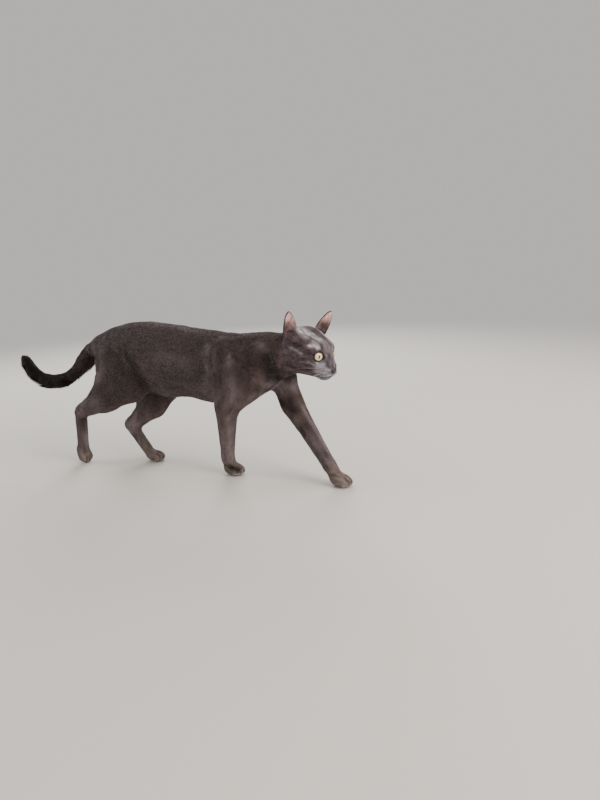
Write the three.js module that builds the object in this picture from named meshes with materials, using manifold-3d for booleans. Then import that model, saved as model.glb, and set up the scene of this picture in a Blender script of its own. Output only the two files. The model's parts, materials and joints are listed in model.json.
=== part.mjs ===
// A life-size walking house cat, modelled as a museum would show it.
// Millimetres, +X towards the way the cat walks, +Y to its left, +Z up.
//
// The body is one smooth field made of named bones and muscle masses. Each region of that field is
// turned into a closed faceted skin at its own fineness, and thin cuts part the regions from each other.

import * as THREE from 'three';
import { mergeVertices } from 'three/addons/utils/BufferGeometryUtils.js';
import Module from 'manifold-3d';

const wasm = await Module();
wasm.setup();

// ---------------------------------------------------------------- driving dimensions

const GAP = 0.3;            // clear space left by each cut
const WITHERS = 257;        // height of the back over the shoulders
const HEAD_SCALE = 1.1;     // the head's own sizes below are for a small cat
const EYE_RADIUS = 10;
const EAR_THICKNESS = 2.2;
const SIDES = { right: -1, left: 1 };

// each region of the skin is netted at this cell size, then thinned to about this many triangles
const FINENESS = {
  trunk: { cell: 8, triangles: 1300 },
  neck: { cell: 6, triangles: 560 },
  head: { cell: 3.4, triangles: 2100 },
  tail: { cell: 5, triangles: 620 },
  leg: { cell: 5.5, triangles: 1080 },
  paw: { cell: 3.2, triangles: 400 },
};

// ---------------------------------------------------------------- small vector tools

const sub = (a, b) => [a[0] - b[0], a[1] - b[1], a[2] - b[2]];
const dot = (a, b) => a[0] * b[0] + a[1] * b[1] + a[2] * b[2];
const length = (a) => Math.hypot(a[0], a[1], a[2]);
const mix = (a, b, t) => a + (b - a) * t;
const clamp = (value, low, high) => Math.min(high, Math.max(low, value));
const radians = (degrees) => degrees * Math.PI / 180;

// ---------------------------------------------------------------- field shapes
// Each shape is a function of a point: below zero inside, above zero outside, roughly in millimetres.

// an ellipsoid with half sizes in x, y and z
const mass = (centre, half) => (p) => {
  const q = sub(p, centre);
  const scaled = [q[0] / half[0], q[1] / half[1], q[2] / half[2]];
  const far = length(scaled);
  const steep = length([scaled[0] / half[0], scaled[1] / half[1], scaled[2] / half[2]]);
  return steep < 1e-9 ? -Math.min(...half) : far * (far - 1) / steep;
};

// a tapered rod with round ends; flat below 1 makes it thinner from side to side
const limb = (from, to, radiusFrom, radiusTo, flat = 1) => {
  const along = sub(to, from);
  along[1] /= flat;
  const square = dot(along, along);
  return (p) => {
    const q = sub(p, from);
    q[1] /= flat;
    const t = clamp(dot(q, along) / square, 0, 1);
    const away = length([q[0] - along[0] * t, q[1] - along[1] * t, q[2] - along[2] * t]);
    return (away - mix(radiusFrom, radiusTo, t)) * Math.min(1, (1 + flat) / 2);
  };
};

// rods from point to point; each stop is [x, y, z, radius]
const chain = (stops, blend, flat = 1) => {
  const rods = stops.slice(1).map((stop, i) =>
    limb(stops[i].slice(0, 3), stop.slice(0, 3), stops[i][3], stop[3], flat));
  return union(rods, blend);
};

// the smaller of two distances with the crease between them filled to about the blend's size
const soften = (a, b, blend) => {
  const h = clamp(0.5 + 0.5 * (b - a) / blend, 0, 1);
  return mix(b, a, h) - blend * h * (1 - h);
};
const union = (shapes, blend) => (p) => shapes.reduce((low, shape) => soften(low, shape(p), blend), 1e3);

// a smooth curve through evenly weighted stations, read off at x
const station = (rows, column, x) => {
  const last = rows.length - 1;
  const i = clamp(rows.findIndex((row) => row[0] > x) - 1, 0, last - 1);
  const at = x >= rows[last][0] ? last - 1 : i;
  const [a, b] = [rows[at], rows[at + 1]];
  const slope = (k) => {
    const [low, high] = [rows[Math.max(0, k - 1)], rows[Math.min(last, k + 1)]];
    return (high[column] - low[column]) / (high[0] - low[0]);
  };
  const wide = b[0] - a[0];
  const t = clamp((x - a[0]) / wide, 0, 1);
  const [t2, t3] = [t * t, t * t * t];
  return (2 * t3 - 3 * t2 + 1) * a[column] + (t3 - 2 * t2 + t) * wide * slope(at)
    + (3 * t2 - 2 * t3) * b[column] + (t3 - t2) * wide * slope(at + 1);
};

// ---------------------------------------------------------------- the trunk
// Stations along the spine: x, height of the back, height of the belly, half width.

const TRUNK = [
  [-262, WITHERS - 5, WITHERS - 52, 24],     // seat
  [-236, WITHERS + 8, WITHERS - 80, 36],     // croup
  [-200, WITHERS + 17, WITHERS - 98, 42],    // hips
  [-160, WITHERS + 20, WITHERS - 108, 44],   // loin
  [-118, WITHERS + 16, WITHERS - 121, 46],   // belly, with its loose fold
  [-75, WITHERS + 10, WITHERS - 117, 46],    // last ribs
  [-30, WITHERS + 4, WITHERS - 125, 45],     // deepest chest
  [12, WITHERS, WITHERS - 130, 42],          // behind the elbows
  [48, WITHERS - 3, WITHERS - 122, 36],      // breastbone
  [72, WITHERS - 4, WITHERS - 104, 31],      // point of the chest
];

const SQUARENESS = 2.3;                       // a section a little fuller than an ellipse
const TRUNK_END = { seat: 24, chest: 26 };    // how far the ends round off past the last stations

const trunk = (p) => {
  const [first, last] = [TRUNK[0][0], TRUNK[TRUNK.length - 1][0]];
  const x = clamp(p[0], first, last);
  const [back, belly, wide] = [1, 2, 3].map((column) => station(TRUNK, column, x));
  const tall = (back - belly) / 2;
  const [u, v] = [p[1] / wide, (p[2] - (back + belly) / 2) / tall];
  const past = (p[0] - x) / (p[0] < first ? TRUNK_END.seat : TRUNK_END.chest);
  const ring = (Math.abs(u) ** SQUARENESS + Math.abs(v) ** SQUARENESS) ** (1 / SQUARENESS);
  const far = Math.hypot(ring, past);
  return (far - 1) * Math.min(wide, tall);
};

// ---------------------------------------------------------------- the neck and the tail

const neck = chain([[58, 0, 204, 44], [100, -2, 216, 38], [136, -8, 223, 33]], 10, 0.84);

// the tail hangs from the croup, swings low and turns up at its end
const TAIL = [
  [-258, 0, 240, 14], [-283, 0, 222, 13], [-304, 0, 206, 12.4], [-326, 0, 189, 12.2], [-351, 0, 172, 12.4],
  [-379, 0, 161, 12.8], [-409, 0, 157.5, 13.2], [-436, 0, 162, 13.2], [-456, 0, 174, 12.6], [-468, 0, 192, 11.4],
  [-474, 0, 202, 10],
];
const tail = chain(TAIL, 4);

// ---------------------------------------------------------------- the legs
// Joints of each leg as [x, y, z]; y is the side's own, positive outwards.

const LEGS = {
  fore_right: {
    side: SIDES.right,
    blade: [14, 29, 226], shoulder: [56, 33, 170], elbow: [15, 32, 132], wrist: [-7, 6, 33], paw: [2, 1, 10],
  },
  fore_left: {
    side: SIDES.left,
    blade: [30, 28, 226], shoulder: [91, 30, 180], elbow: [109, 28, 130], wrist: [181, 4, 36], paw: [204, 0, 10],
  },
  hind_right: {
    side: SIDES.right,
    hip: [-218, 24, 205], knee: [-178, 34, 160], calf: [-242, 36, 140], hock: [-303, 36, 109],
    toes: [-325, 25, 30], paw: [-327, 23, 19],
    pointing: 76,                            // this foot is pushing off, up on its toes
  },
  hind_left: {
    side: SIDES.left,
    hip: [-212, 24, 205], knee: [-154, 36, 148], calf: [-191, 34, 113], hock: [-246, 31, 67],
    toes: [-210, 26, 22], paw: [-191, 24, 10],
  },
};

const outward = (side, point, radius) => [point[0], side * point[1], point[2], radius];

// four toes fan out ahead of the paw's ball; pointing tips the foot onto their ends
const pawShapes = (side, centre, turn, pointing = 0) => {
  const [c, s] = [Math.cos(radians(pointing)), Math.sin(radians(pointing))];
  const place = (ahead, out, up) => [
    centre[0] + ahead * c - up * s,
    side * centre[1] + out * side - ahead * turn * side,
    centre[2] - ahead * s + up * c,
  ];
  const toes = [-9.6, -3.4, 3.4, 9.6].map((out, i) => {
    const reach = [8, 13, 13.4, 9][i];
    return limb(place(0, out * 0.7, 0), place(reach, out, -2.4), 7.2, 6.4);
  });
  return [limb(place(-9, 0, 1.5), place(4, 0, 0.5), 10.5, 10.8, 1.12), union(toes, 2.5)];
};

// each leg is its root, the muscle that lies on the trunk, and its shaft
const foreLeg = (name) => {
  const { side, blade, shoulder, elbow, wrist, paw } = LEGS[name];
  const at = (point, radius) => outward(side, point, radius);
  const root = union([
    chain([at(blade, 24), at(shoulder, 26)], 8, 0.62),
    chain([at(shoulder, 25), at(elbow, 21)], 8, 0.72),
  ], 8);
  const shaft = union([
    chain([at(elbow, 20), at(wrist, 12.2)], 4),
    chain([at(wrist, 12.2), at([paw[0] - 6, paw[1], paw[2] + 3], 11)], 4),
    ...pawShapes(side, paw, 0.05),
  ], 6);
  return { root, whole: union([root, shaft], 8) };
};

const hindLeg = (name) => {
  const { side, hip, knee, calf, hock, toes, paw, pointing } = LEGS[name];
  const at = (point, radius) => outward(side, point, radius);
  const root = union([
    chain([at(hip, 44), at(knee, 28)], 10, 0.55),
    chain([at([hip[0] - 8, hip[1] - 2, hip[2] - 12], 36), at(calf, 27)], 10, 0.55),
  ], 8);
  const shaft = union([
    chain([at(knee, 26), at(calf, 28), at(hock, 14)], 8, 0.72),
    chain([at([hock[0] - 4, hock[1], hock[2] + 4], 12), at(toes, 10.8)], 4),
    ...pawShapes(side, paw, 0.03, pointing),
  ], 7);
  return { root, whole: union([root, shaft], 8) };
};

const legs = {
  fore_right: foreLeg('fore_right'),
  fore_left: foreLeg('fore_left'),
  hind_right: hindLeg('hind_right'),
  hind_left: hindLeg('hind_left'),
};
const legNames = Object.keys(legs);

// ---------------------------------------------------------------- the head
// The head has its own axes, ahead, left and up, from the middle of the brain case.

const HEAD = { centre: [157, -5, 231], yaw: -20, pitch: 15, roll: -4.7 };

const headTurn = new THREE.Matrix4().makeRotationFromEuler(
  new THREE.Euler(radians(HEAD.roll), radians(HEAD.pitch), radians(HEAD.yaw), 'ZYX'));
const headPlace = headTurn.clone().setPosition(...HEAD.centre)
  .multiply(new THREE.Matrix4().makeScale(HEAD_SCALE, HEAD_SCALE, HEAD_SCALE));
const headLocal = headPlace.clone().invert();
const intoHead = (p) => new THREE.Vector3(...p).applyMatrix4(headLocal).toArray();
const outOfHead = (p) => new THREE.Vector3(...p).applyMatrix4(headPlace).toArray();

// the eyes look ahead and a little outwards from deep in the skull
const EYE = { ahead: 30, out: 13.4, up: -0.6, outwards: 22 };
const gaze = (side) => [Math.cos(radians(EYE.outwards)), side * Math.sin(radians(EYE.outwards)), 0.1];
const eyeAt = (side, forward) => {
  const aim = gaze(side);
  return [EYE.ahead + aim[0] * forward, side * EYE.out + aim[1] * forward, EYE.up + aim[2] * forward];
};

const NOSE = { tip: [56.4, 0, -15.8], half: [3.4, 5.2, 4.2] };

const flesh = union([
  mass([-3, 0, 2.5], [34, 31, 29]),                                       // brain case
  mass([20.5, 0, 6], [24, 24, 19]),                                       // brow
  ...[-1, 1].map((side) => mass([8, side * 18.5, -11], [26, 17, 19.5])),  // cheeks
  ...[-1, 1].map((side) => mass([-10, side * 26, 12], [13, 9.5, 13])),    // mounds under the ears
  ...[-1, 1].map((side) => mass([27.5, side * 17, -12], [11, 9, 9])),     // cheekbones under the eyes
  ...[-1, 1].map((side) => mass([19, side * 18, 0], [13, 9, 11])),        // temples behind the eyes
  limb([24, 0, 5], [51.5, 0, -9.8], 14.5, 7),                               // bridge of the nose
  limb([20, 0, -13], [44, 0, -17.5], 17, 9),                              // muzzle
  ...[-1, 1].map((side) => mass([44, side * 7, -19], [11.6, 9, 8.2])),   // whisker pads
  mass([42, 0, -28], [8.5, 8, 6]),                                        // chin
  ...[-1, 1].map((side) => limb([6, side * 11, -23], [38.5, side * 3, -27.2], 13, 6.5)), // lower jaw
], 6);
const hollows = union([-1, 1].map((side) => mass(eyeAt(side, 13.4), [7.4, 9, 8.2])), 1);
const skull = (p) => -soften(-flesh(p), hollows(p), 3);
const headOnly = (p) => skull(intoHead(p)) * HEAD_SCALE;

// the whole body: the masses run into each other over these widths
const BLEND = { neck: 18, head: 9, tail: 12, leg: 12 };
const core = (p) => {
  let low = soften(trunk(p), neck(p), BLEND.neck);
  low = soften(low, tail(p), BLEND.tail);
  return low;
};
const withLeg = (name) => (p) => soften(core(p), legs[name].whole(p), BLEND.leg);
const body = (p) => legNames.reduce((low, name) => soften(low, legs[name].root(p), BLEND.leg),
  soften(core(p), headOnly(p), BLEND.head));

// ---------------------------------------------------------------- from a field to a closed solid

// pulls a point onto the field's surface
const settle = (field, p, step) => {
  let q = p;
  for (let turn = 0; turn < 3; turn += 1) {
    const here = field(q);
    if (Math.abs(here) < 0.01) break;
    const slope = [0, 1, 2].map((axis) => {
      const ahead = [...q];
      ahead[axis] += step;
      return (field(ahead) - here) / step;
    });
    const steep = Math.max(0.2, dot(slope, slope));
    q = q.map((value, axis) => value - here * slope[axis] / steep);
  }
  return q;
};

// a net of quads over the field's surface inside a box, one corner in each cell that the surface crosses
const net = (field, low, high, cell) => {
  const count = low.map((value, axis) => Math.ceil((high[axis] - value) / cell) + 1);
  const index = (i, j, k) => (k * count[1] + j) * count[0] + i;
  const point = (i, j, k) => [low[0] + i * cell, low[1] + j * cell, low[2] + k * cell];
  const edge = (i, axis) => i === 0 || i === count[axis] - 1;
  const value = new Float64Array(count[0] * count[1] * count[2]);
  for (let k = 0; k < count[2]; k += 1) {
    for (let j = 0; j < count[1]; j += 1) {
      for (let i = 0; i < count[0]; i += 1) {
        const here = field(point(i, j, k));
        value[index(i, j, k)] = edge(i, 0) || edge(j, 1) || edge(k, 2) ? Math.max(here, cell / 4) : here;
      }
    }
  }
  const corners = [0, 1, 2, 3, 4, 5, 6, 7].map((n) => [n & 1, (n >> 1) & 1, n >> 2]);
  const edges = [];
  corners.forEach((a, m) => corners.forEach((b, n) => {
    if (m < n && length(sub(a, b)) === 1) edges.push([a, b]);
  }));
  const places = [];
  const cellOf = new Map();
  for (let k = 0; k < count[2] - 1; k += 1) {
    for (let j = 0; j < count[1] - 1; j += 1) {
      for (let i = 0; i < count[0] - 1; i += 1) {
        const sum = [0, 0, 0];
        let crossed = 0;
        edges.forEach(([a, b]) => {
          const va = value[index(i + a[0], j + a[1], k + a[2])];
          const vb = value[index(i + b[0], j + b[1], k + b[2])];
          if (va < 0 === vb < 0) return;
          const t = va / (va - vb);
          crossed += 1;
          [0, 1, 2].forEach((axis) => { sum[axis] += mix(a[axis], b[axis], t); });
        });
        if (!crossed) continue;
        const p = point(i + sum[0] / crossed, j + sum[1] / crossed, k + sum[2] / crossed);
        const q = settle(field, p, cell / 20);
        cellOf.set(index(i, j, k), places.length / 3);
        places.push(...(length(sub(p, q)) < cell ? q : p));
      }
    }
  }
  const triangles = [];
  const at = (n) => places.slice(3 * n, 3 * n + 3);
  const quad = (a, b, c, d) => {
    if (length(sub(at(a), at(c))) <= length(sub(at(b), at(d)))) triangles.push(a, b, c, a, c, d);
    else triangles.push(a, b, d, b, c, d);
  };
  for (let k = 0; k < count[2] - 1; k += 1) {
    for (let j = 0; j < count[1] - 1; j += 1) {
      for (let i = 0; i < count[0] - 1; i += 1) {
        const inside = value[index(i, j, k)] < 0;
        const around = [
          [[1, 0, 0], [[0, -1, -1], [0, 0, -1], [0, 0, 0], [0, -1, 0]]],
          [[0, 1, 0], [[-1, 0, -1], [-1, 0, 0], [0, 0, 0], [0, 0, -1]]],
          [[0, 0, 1], [[-1, -1, 0], [0, -1, 0], [0, 0, 0], [-1, 0, 0]]],
        ];
        around.forEach(([step, cells]) => {
          const next = value[index(i + step[0], j + step[1], k + step[2])] < 0;
          if (next === inside) return;
          const ring = cells.map(([a, b, c]) => cellOf.get(index(i + a, j + b, k + c)));
          if (inside) quad(...ring);
          else quad(...ring.reverse());
        });
      }
    }
  }
  return { places, triangles };
};

// merges the corners of a net along its least missed edges until about so many triangles are left
const thin = ({ places, triangles }, field, wanted) => {
  const points = [];
  for (let n = 0; n < places.length; n += 3) points.push(places.slice(n, n + 3));
  let faces = [];
  for (let n = 0; n < triangles.length; n += 3) faces.push(triangles.slice(n, n + 3));
  const cross = (a, b) => [a[1] * b[2] - a[2] * b[1], a[2] * b[0] - a[0] * b[2], a[0] * b[1] - a[1] * b[0]];
  const normal = (a, b, c) => cross(sub(b, a), sub(c, a));
  const error = points.map(() => new Float64Array(10));
  faces.forEach((face) => {
    const [a, b, c] = face.map((n) => points[n]);
    const n = normal(a, b, c);
    const size = length(n) || 1;
    const unit = n.map((value) => value / size);
    const q = [...unit, -dot(unit, a)];
    let slot = 0;
    for (let i = 0; i < 4; i += 1) {
      for (let j = i; j < 4; j += 1) {
        face.forEach((corner) => { error[corner][slot] += q[i] * q[j] * size; });
        slot += 1;
      }
    }
  });
  const miss = (m, [x, y, z]) => m[0] * x * x + m[4] * y * y + m[7] * z * z + m[9]
    + 2 * (m[1] * x * y + m[2] * x * z + m[3] * x + m[5] * y * z + m[6] * y + m[8] * z);
  for (let pass = 0; pass < 60 && faces.length > wanted; pass += 1) {
    const ring = points.map(() => []);
    faces.forEach((face, f) => face.forEach((corner) => ring[corner].push(f)));
    const around = ring.map((list, v) => new Set(list.flatMap((f) => faces[f]).filter((n) => n !== v)));
    const edges = [];
    around.forEach((near, a) => near.forEach((b) => {
      if (a > b) return;
      const middle = points[a].map((value, axis) => (value + points[b][axis]) / 2);
      const span = length(sub(points[a], points[b]));
      edges.push([miss(error[a], middle) + miss(error[b], middle) + 0.02 * span ** 3, a, b, middle]);
    }));
    edges.sort((a, b) => a[0] - b[0]);
    const touched = new Set();
    const gone = new Map();
    let left = faces.length;
    for (const [, a, b, middle] of edges.slice(0, Math.ceil(edges.length / 4))) {
      if (left <= wanted) break;
      const shared = [...around[a]].filter((n) => around[b].has(n));
      if (shared.length !== 2 || touched.has(a) || touched.has(b)) continue;
      const settled = settle(field, middle, 0.1);
      const target = length(sub(settled, middle)) < length(sub(points[a], points[b])) / 2 ? settled : middle;
      const flips = [...ring[a], ...ring[b]].some((f) => {
        const face = faces[f];
        if (face.includes(a) && face.includes(b)) return false;
        const now = normal(...face.map((n) => points[n]));
        const then = normal(...face.map((n) => (n === a || n === b ? target : points[n])));
        return dot(now, then) < 0.5 * length(now) * length(then);
      });
      if (flips) continue;
      [a, b].forEach((v) => { touched.add(v); around[v].forEach((n) => touched.add(n)); });
      points[a] = target;
      error[a] = error[a].map((value, n) => value + error[b][n]);
      gone.set(b, a);
      left -= 2;
    }
    faces = faces.map((face) => face.map((n) => gone.get(n) ?? n))
      .filter(([a, b, c]) => a !== b && b !== c && c !== a);
  }
  const used = [...new Set(faces.flat())];
  const rename = new Map(used.map((n, i) => [n, i]));
  return new wasm.Manifold(new wasm.Mesh({
    numProp: 3,
    vertProperties: new Float32Array(used.flatMap((n) => points[n])),
    triVerts: new Uint32Array(faces.flat().map((n) => rename.get(n))),
  }));
};

const skinOf = (field, low, high, { cell, triangles }) => thin(net(field, low, high, cell), field, triangles);

// ---------------------------------------------------------------- cutters

const solidOf = (geometry) => {
  geometry.deleteAttribute('normal');
  geometry.deleteAttribute('uv');
  const merged = mergeVertices(geometry, 1e-4);
  return new wasm.Manifold(new wasm.Mesh({
    numProp: 3,
    vertProperties: new Float32Array(merged.attributes.position.array),
    triVerts: new Uint32Array(merged.index.array),
  }));
};

const WORLD = 1500;   // larger than the whole cat

// all that lies beyond a plane, set back by half a gap
const beyond = (point, normal) => {
  const aim = new THREE.Vector3(...normal).normalize();
  const box = new THREE.BoxGeometry(WORLD, WORLD, WORLD);
  box.translate(0, 0, WORLD / 2 + GAP / 2);
  box.applyQuaternion(new THREE.Quaternion().setFromUnitVectors(new THREE.Vector3(0, 0, 1), aim));
  box.translate(...point);
  return solidOf(box);
};
const before = (point, normal) => beyond(point, normal.map((value) => -value));

// a prism across the cat whose outline, seen from the side, wraps the given circles [x, z, radius]
const wrap = (circles, from, to, grow = 0) => {
  const rim = [];
  const STEPS = 40;
  circles.forEach(([x, z, radius]) => {
    for (let i = 0; i < STEPS; i += 1) {
      const a = 2 * Math.PI * i / STEPS;
      rim.push([x + (radius + grow) * Math.cos(a), z + (radius + grow) * Math.sin(a)]);
    }
  });
  rim.sort((a, b) => a[0] - b[0] || a[1] - b[1]);
  const turn = (o, a, b) => (a[0] - o[0]) * (b[1] - o[1]) - (a[1] - o[1]) * (b[0] - o[0]);
  const half = (points) => points.reduce((hull, p) => {
    while (hull.length > 1 && turn(hull[hull.length - 2], hull[hull.length - 1], p) < 0.5) hull.pop();
    hull.push(p);
    return hull;
  }, []);
  const hull = [...half(rim).slice(0, -1), ...half([...rim].reverse()).slice(0, -1)];
  const shape = new THREE.Shape(hull.map(([x, z]) => new THREE.Vector2(x, z)));
  const [low, high] = [Math.min(from, to) - grow, Math.max(from, to) + grow];
  const prism = new THREE.ExtrudeGeometry(shape, { depth: high - low, bevelEnabled: false });
  prism.rotateX(Math.PI / 2);
  prism.translate(0, high, 0);
  return solidOf(prism);
};

const block = (low, high, grow = 0) => {
  const box = new THREE.BoxGeometry(...high.map((value, axis) => value - low[axis] + 2 * grow));
  box.translate(...high.map((value, axis) => (value + low[axis]) / 2));
  return solidOf(box);
};

// ---------------------------------------------------------------- parting the legs from the trunk

const OUTER = 120;          // past the cat's side
const legRegion = {
  fore_right: (grow) => wrap([[20, 226, 14], [60, 168, 26], [14, 124, 32]], -OUTER, -13, grow)
    .add(block([-60, -70, -30], [64, 45, 113], grow)),
  fore_left: (grow) => wrap([[32, 226, 14], [92, 176, 28], [112, 122, 34]], 9, OUTER, grow)
    .add(wrap([[128, 98, 30], [150, 0, 60], [220, 0, 60]], -50, 75, grow)),
  hind_right: (grow) => wrap([[-220, 200, 38], [-156, 168, 16], [-280, 20, 90], [-180, 20, 60]], -OUTER, -11, grow),
  hind_left: (grow) => wrap([[-214, 200, 38], [-140, 160, 16], [-230, 10, 80], [-120, 20, 60]], 11, OUTER, grow),
};

// where each leg ends and its paw begins: a point and the way down the limb
const ANKLE = {
  fore_right: [[-7, -5, 27], [0.12, 0, -1]],
  fore_left: [[182, 4, 32], [0.55, 0, -0.8]],
  hind_right: [[-308, -34, 92], [-0.1, 0, -1]],
  hind_left: [[-238, 30, 58], [0.3, 0, -0.95]],
};

const FLOOR = block([-WORLD, -WORLD, -WORLD], [WORLD, WORLD, 0]);

const parts = {};

legNames.forEach((name) => {
  const [part, side] = name.split('_');
  const [low, high] = part === 'fore'
    ? [[-50, -90, -20], [260, 90, 262]]
    : [[-370, -90, -20], [-90, 90, 268]];
  const [ankle, down] = ANKLE[name];
  const reach = 34;
  const pawLow = [ankle[0] - reach, ankle[1] - reach, -14];
  const pawHigh = [ankle[0] + 2 * reach, ankle[1] + reach, ankle[2] + 16];
  parts[`${part}_leg_${side}`] = skinOf(withLeg(name), low, high, FINENESS.leg)
    .intersect(legRegion[name](0)).intersect(before(ankle, down));
  parts[`${part}_paw_${side}`] = skinOf(legs[name].whole, pawLow, pawHigh, FINENESS.paw)
    .intersect(beyond(ankle, down)).subtract(FLOOR);
});

// ---------------------------------------------------------------- trunk, neck and tail

const NECK_CUT = [[72, 0, 205], [0.92, 0, 0.38]];
const HEAD_CUT = [[133, -6, 222], [0.97, -0.22, 0.08]];
const TAIL_CUTS = [
  [[-279, 0, 224], [-0.8, 0, -0.6]],
  [[-345, 0, 175], [-0.84, 0, -0.54]],
  [[-424, 0, 159], [-0.99, 0, 0.12]],
];
const withoutLegs = (solid, names) => names.reduce((left, name) => left.subtract(legRegion[name](GAP)), solid);

parts.trunk = withoutLegs(
  skinOf(body, [-310, -75, 90], [120, 75, 300], FINENESS.trunk)
    .intersect(before(...NECK_CUT)).intersect(before(...TAIL_CUTS[0])), legNames);
parts.neck = withoutLegs(
  skinOf(body, [20, -60, 110], [180, 60, 300], FINENESS.neck)
    .intersect(beyond(...NECK_CUT)).intersect(before(...HEAD_CUT)), ['fore_right', 'fore_left']);

const wholeTail = skinOf((p) => soften(tail(p), trunk(p), BLEND.tail),
  [-500, -30, 120], [-245, 30, 262], FINENESS.tail);
parts.tail_base = wholeTail.intersect(beyond(...TAIL_CUTS[0])).intersect(before(...TAIL_CUTS[1]));
parts.tail_middle = wholeTail.intersect(beyond(...TAIL_CUTS[1])).intersect(before(...TAIL_CUTS[2]));
parts.tail_tip = wholeTail.intersect(beyond(...TAIL_CUTS[2]));

// ---------------------------------------------------------------- ears, eyes, nose and head
// An ear is a cupped leaf. Its sizes are in the head's own axes and scale.

const EAR = {
  root: [-10, 26, 8], tip: [-8, 48, 53.6],    // ahead, outwards, up
  facing: { right: 8, left: -12 },            // degrees that its mouth turns outwards from straight ahead
  halfWidth: 13.7,
  waist: 0.45,                                // the share of its width that it loses towards its root
  cup: 60,                                    // degrees that each side wraps forwards
  thickness: EAR_THICKNESS / HEAD_SCALE,
};

const earLeaf = (side) => {
  const [ROWS, COLUMNS] = [7, 8];
  const root = new THREE.Vector3(EAR.root[0], side * EAR.root[1], EAR.root[2]);
  const rise = new THREE.Vector3(EAR.tip[0], side * EAR.tip[1], EAR.tip[2]).sub(root);
  const tall = rise.length();
  rise.normalize();
  const turned = radians(side < 0 ? EAR.facing.right : EAR.facing.left);
  const face = new THREE.Vector3(Math.cos(turned), side * Math.sin(turned), 0);
  face.addScaledVector(rise, -face.dot(rise)).normalize();
  const across = new THREE.Vector3().crossVectors(rise, face);
  const corner = (row, column, layer) => {
    const s = 1 - (1 - row / ROWS) ** 1.4;
    const waist = 1 - EAR.waist * Math.max(0, 1 - s / 0.35) ** 2;
    const halfWidth = EAR.halfWidth * waist * (1 - s ** 2.1) ** 0.62 + 0.6;
    const open = radians(mix(EAR.cup, EAR.cup * 0.45, s));
    const bend = open * (2 * column / COLUMNS - 1);
    const radius = halfWidth / Math.sin(open);
    const shell = radius - layer * EAR.thickness;
    return root.clone()
      .addScaledVector(rise, tall * s)
      .addScaledVector(across, shell * Math.sin(bend))
      .addScaledVector(face, radius * Math.cos(open) - shell * Math.cos(bend));
  };
  const corners = [];
  const indexOf = (row, column, layer) => (layer * (ROWS + 1) + row) * (COLUMNS + 1) + column;
  for (let layer = 0; layer < 2; layer += 1) {
    for (let row = 0; row <= ROWS; row += 1) {
      for (let column = 0; column <= COLUMNS; column += 1) {
        corners.push(...corner(row, column, layer).applyMatrix4(headPlace).toArray());
      }
    }
  }
  const triangles = [];
  const quad = (a, b, c, d) => triangles.push(a, b, c, a, c, d);
  for (let row = 0; row < ROWS; row += 1) {
    for (let column = 0; column < COLUMNS; column += 1) {
      [0, 1].forEach((layer) => {
        const ring = [[0, 0], [0, 1], [1, 1], [1, 0]].map(([r, c]) => indexOf(row + r, column + c, layer));
        quad(...(layer ? ring : ring.reverse()));
      });
    }
  }
  for (let row = 0; row < ROWS; row += 1) {
    quad(indexOf(row, 0, 0), indexOf(row, 0, 1), indexOf(row + 1, 0, 1), indexOf(row + 1, 0, 0));
    quad(indexOf(row, COLUMNS, 1), indexOf(row, COLUMNS, 0),
      indexOf(row + 1, COLUMNS, 0), indexOf(row + 1, COLUMNS, 1));
  }
  for (let column = 0; column < COLUMNS; column += 1) {
    quad(indexOf(0, column, 1), indexOf(0, column, 0), indexOf(0, column + 1, 0), indexOf(0, column + 1, 1));
    quad(indexOf(ROWS, column, 0), indexOf(ROWS, column, 1),
      indexOf(ROWS, column + 1, 1), indexOf(ROWS, column + 1, 0));
  }
  return new wasm.Manifold(new wasm.Mesh({
    numProp: 3, vertProperties: new Float32Array(corners), triVerts: new Uint32Array(triangles),
  }));
};

const headDirection = (ahead, left, up) =>
  new THREE.Vector3(ahead, left, up).applyMatrix4(headTurn).toArray();

// the fold where an ear leaves the head: a point on it and the way up the ear
const earFold = (side) => [outOfHead([-8, side * 35, 26]), headDirection(0.05, side * 0.42, 0.9)];

const sphere = (centre, radius, round = 14) => {
  const ball = new THREE.SphereGeometry(radius, round, Math.round(round * 0.6));
  ball.translate(...centre);
  return solidOf(ball);
};
const eyeCentre = (side) => outOfHead(eyeAt(side, 0));

const nosePad = (grow) => {
  const pad = new THREE.SphereGeometry(1, 12, 8);
  pad.scale(...NOSE.half.map((half) => half + grow / HEAD_SCALE));
  pad.translate(...NOSE.tip);
  pad.applyMatrix4(headPlace);
  return solidOf(pad);
};

const headField = (p) => soften(soften(headOnly(p), neck(p), BLEND.head), trunk(p), BLEND.head);
let head = skinOf(headField, [95, -75, 160], [245, 65, 290], FINENESS.head).intersect(beyond(...HEAD_CUT));
Object.entries(SIDES).forEach(([name, side]) => {
  const leaf = earLeaf(side);
  parts[`ear_${name}`] = leaf.intersect(beyond(...earFold(side)));
  parts[`eye_${name}`] = sphere(eyeCentre(side), EYE_RADIUS);
  head = head.add(leaf.intersect(before(...earFold(side))));
  head = head.subtract(sphere(eyeCentre(side), EYE_RADIUS + GAP));
});
parts.nose = nosePad(0);
parts.head = head.subtract(nosePad(GAP));

// ---------------------------------------------------------------- the group

const FINISH = {
  coat: { color: 0x4d474a, roughness: 0.75, metalness: 0 },
  head: { color: 0x6a676f, roughness: 0.75, metalness: 0 },
  tail: { color: 0x2b2728, roughness: 0.8, metalness: 0 },
  ear: { color: 0x8b6f73, roughness: 0.7, metalness: 0 },
  eye: { color: 0xd9c97c, roughness: 0.08, metalness: 0 },
  nose: { color: 0x2f2a2d, roughness: 0.45, metalness: 0 },
};
const finishOf = (name) => FINISH[Object.keys(FINISH).find((key) => name.startsWith(key))] ?? FINISH.coat;

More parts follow.
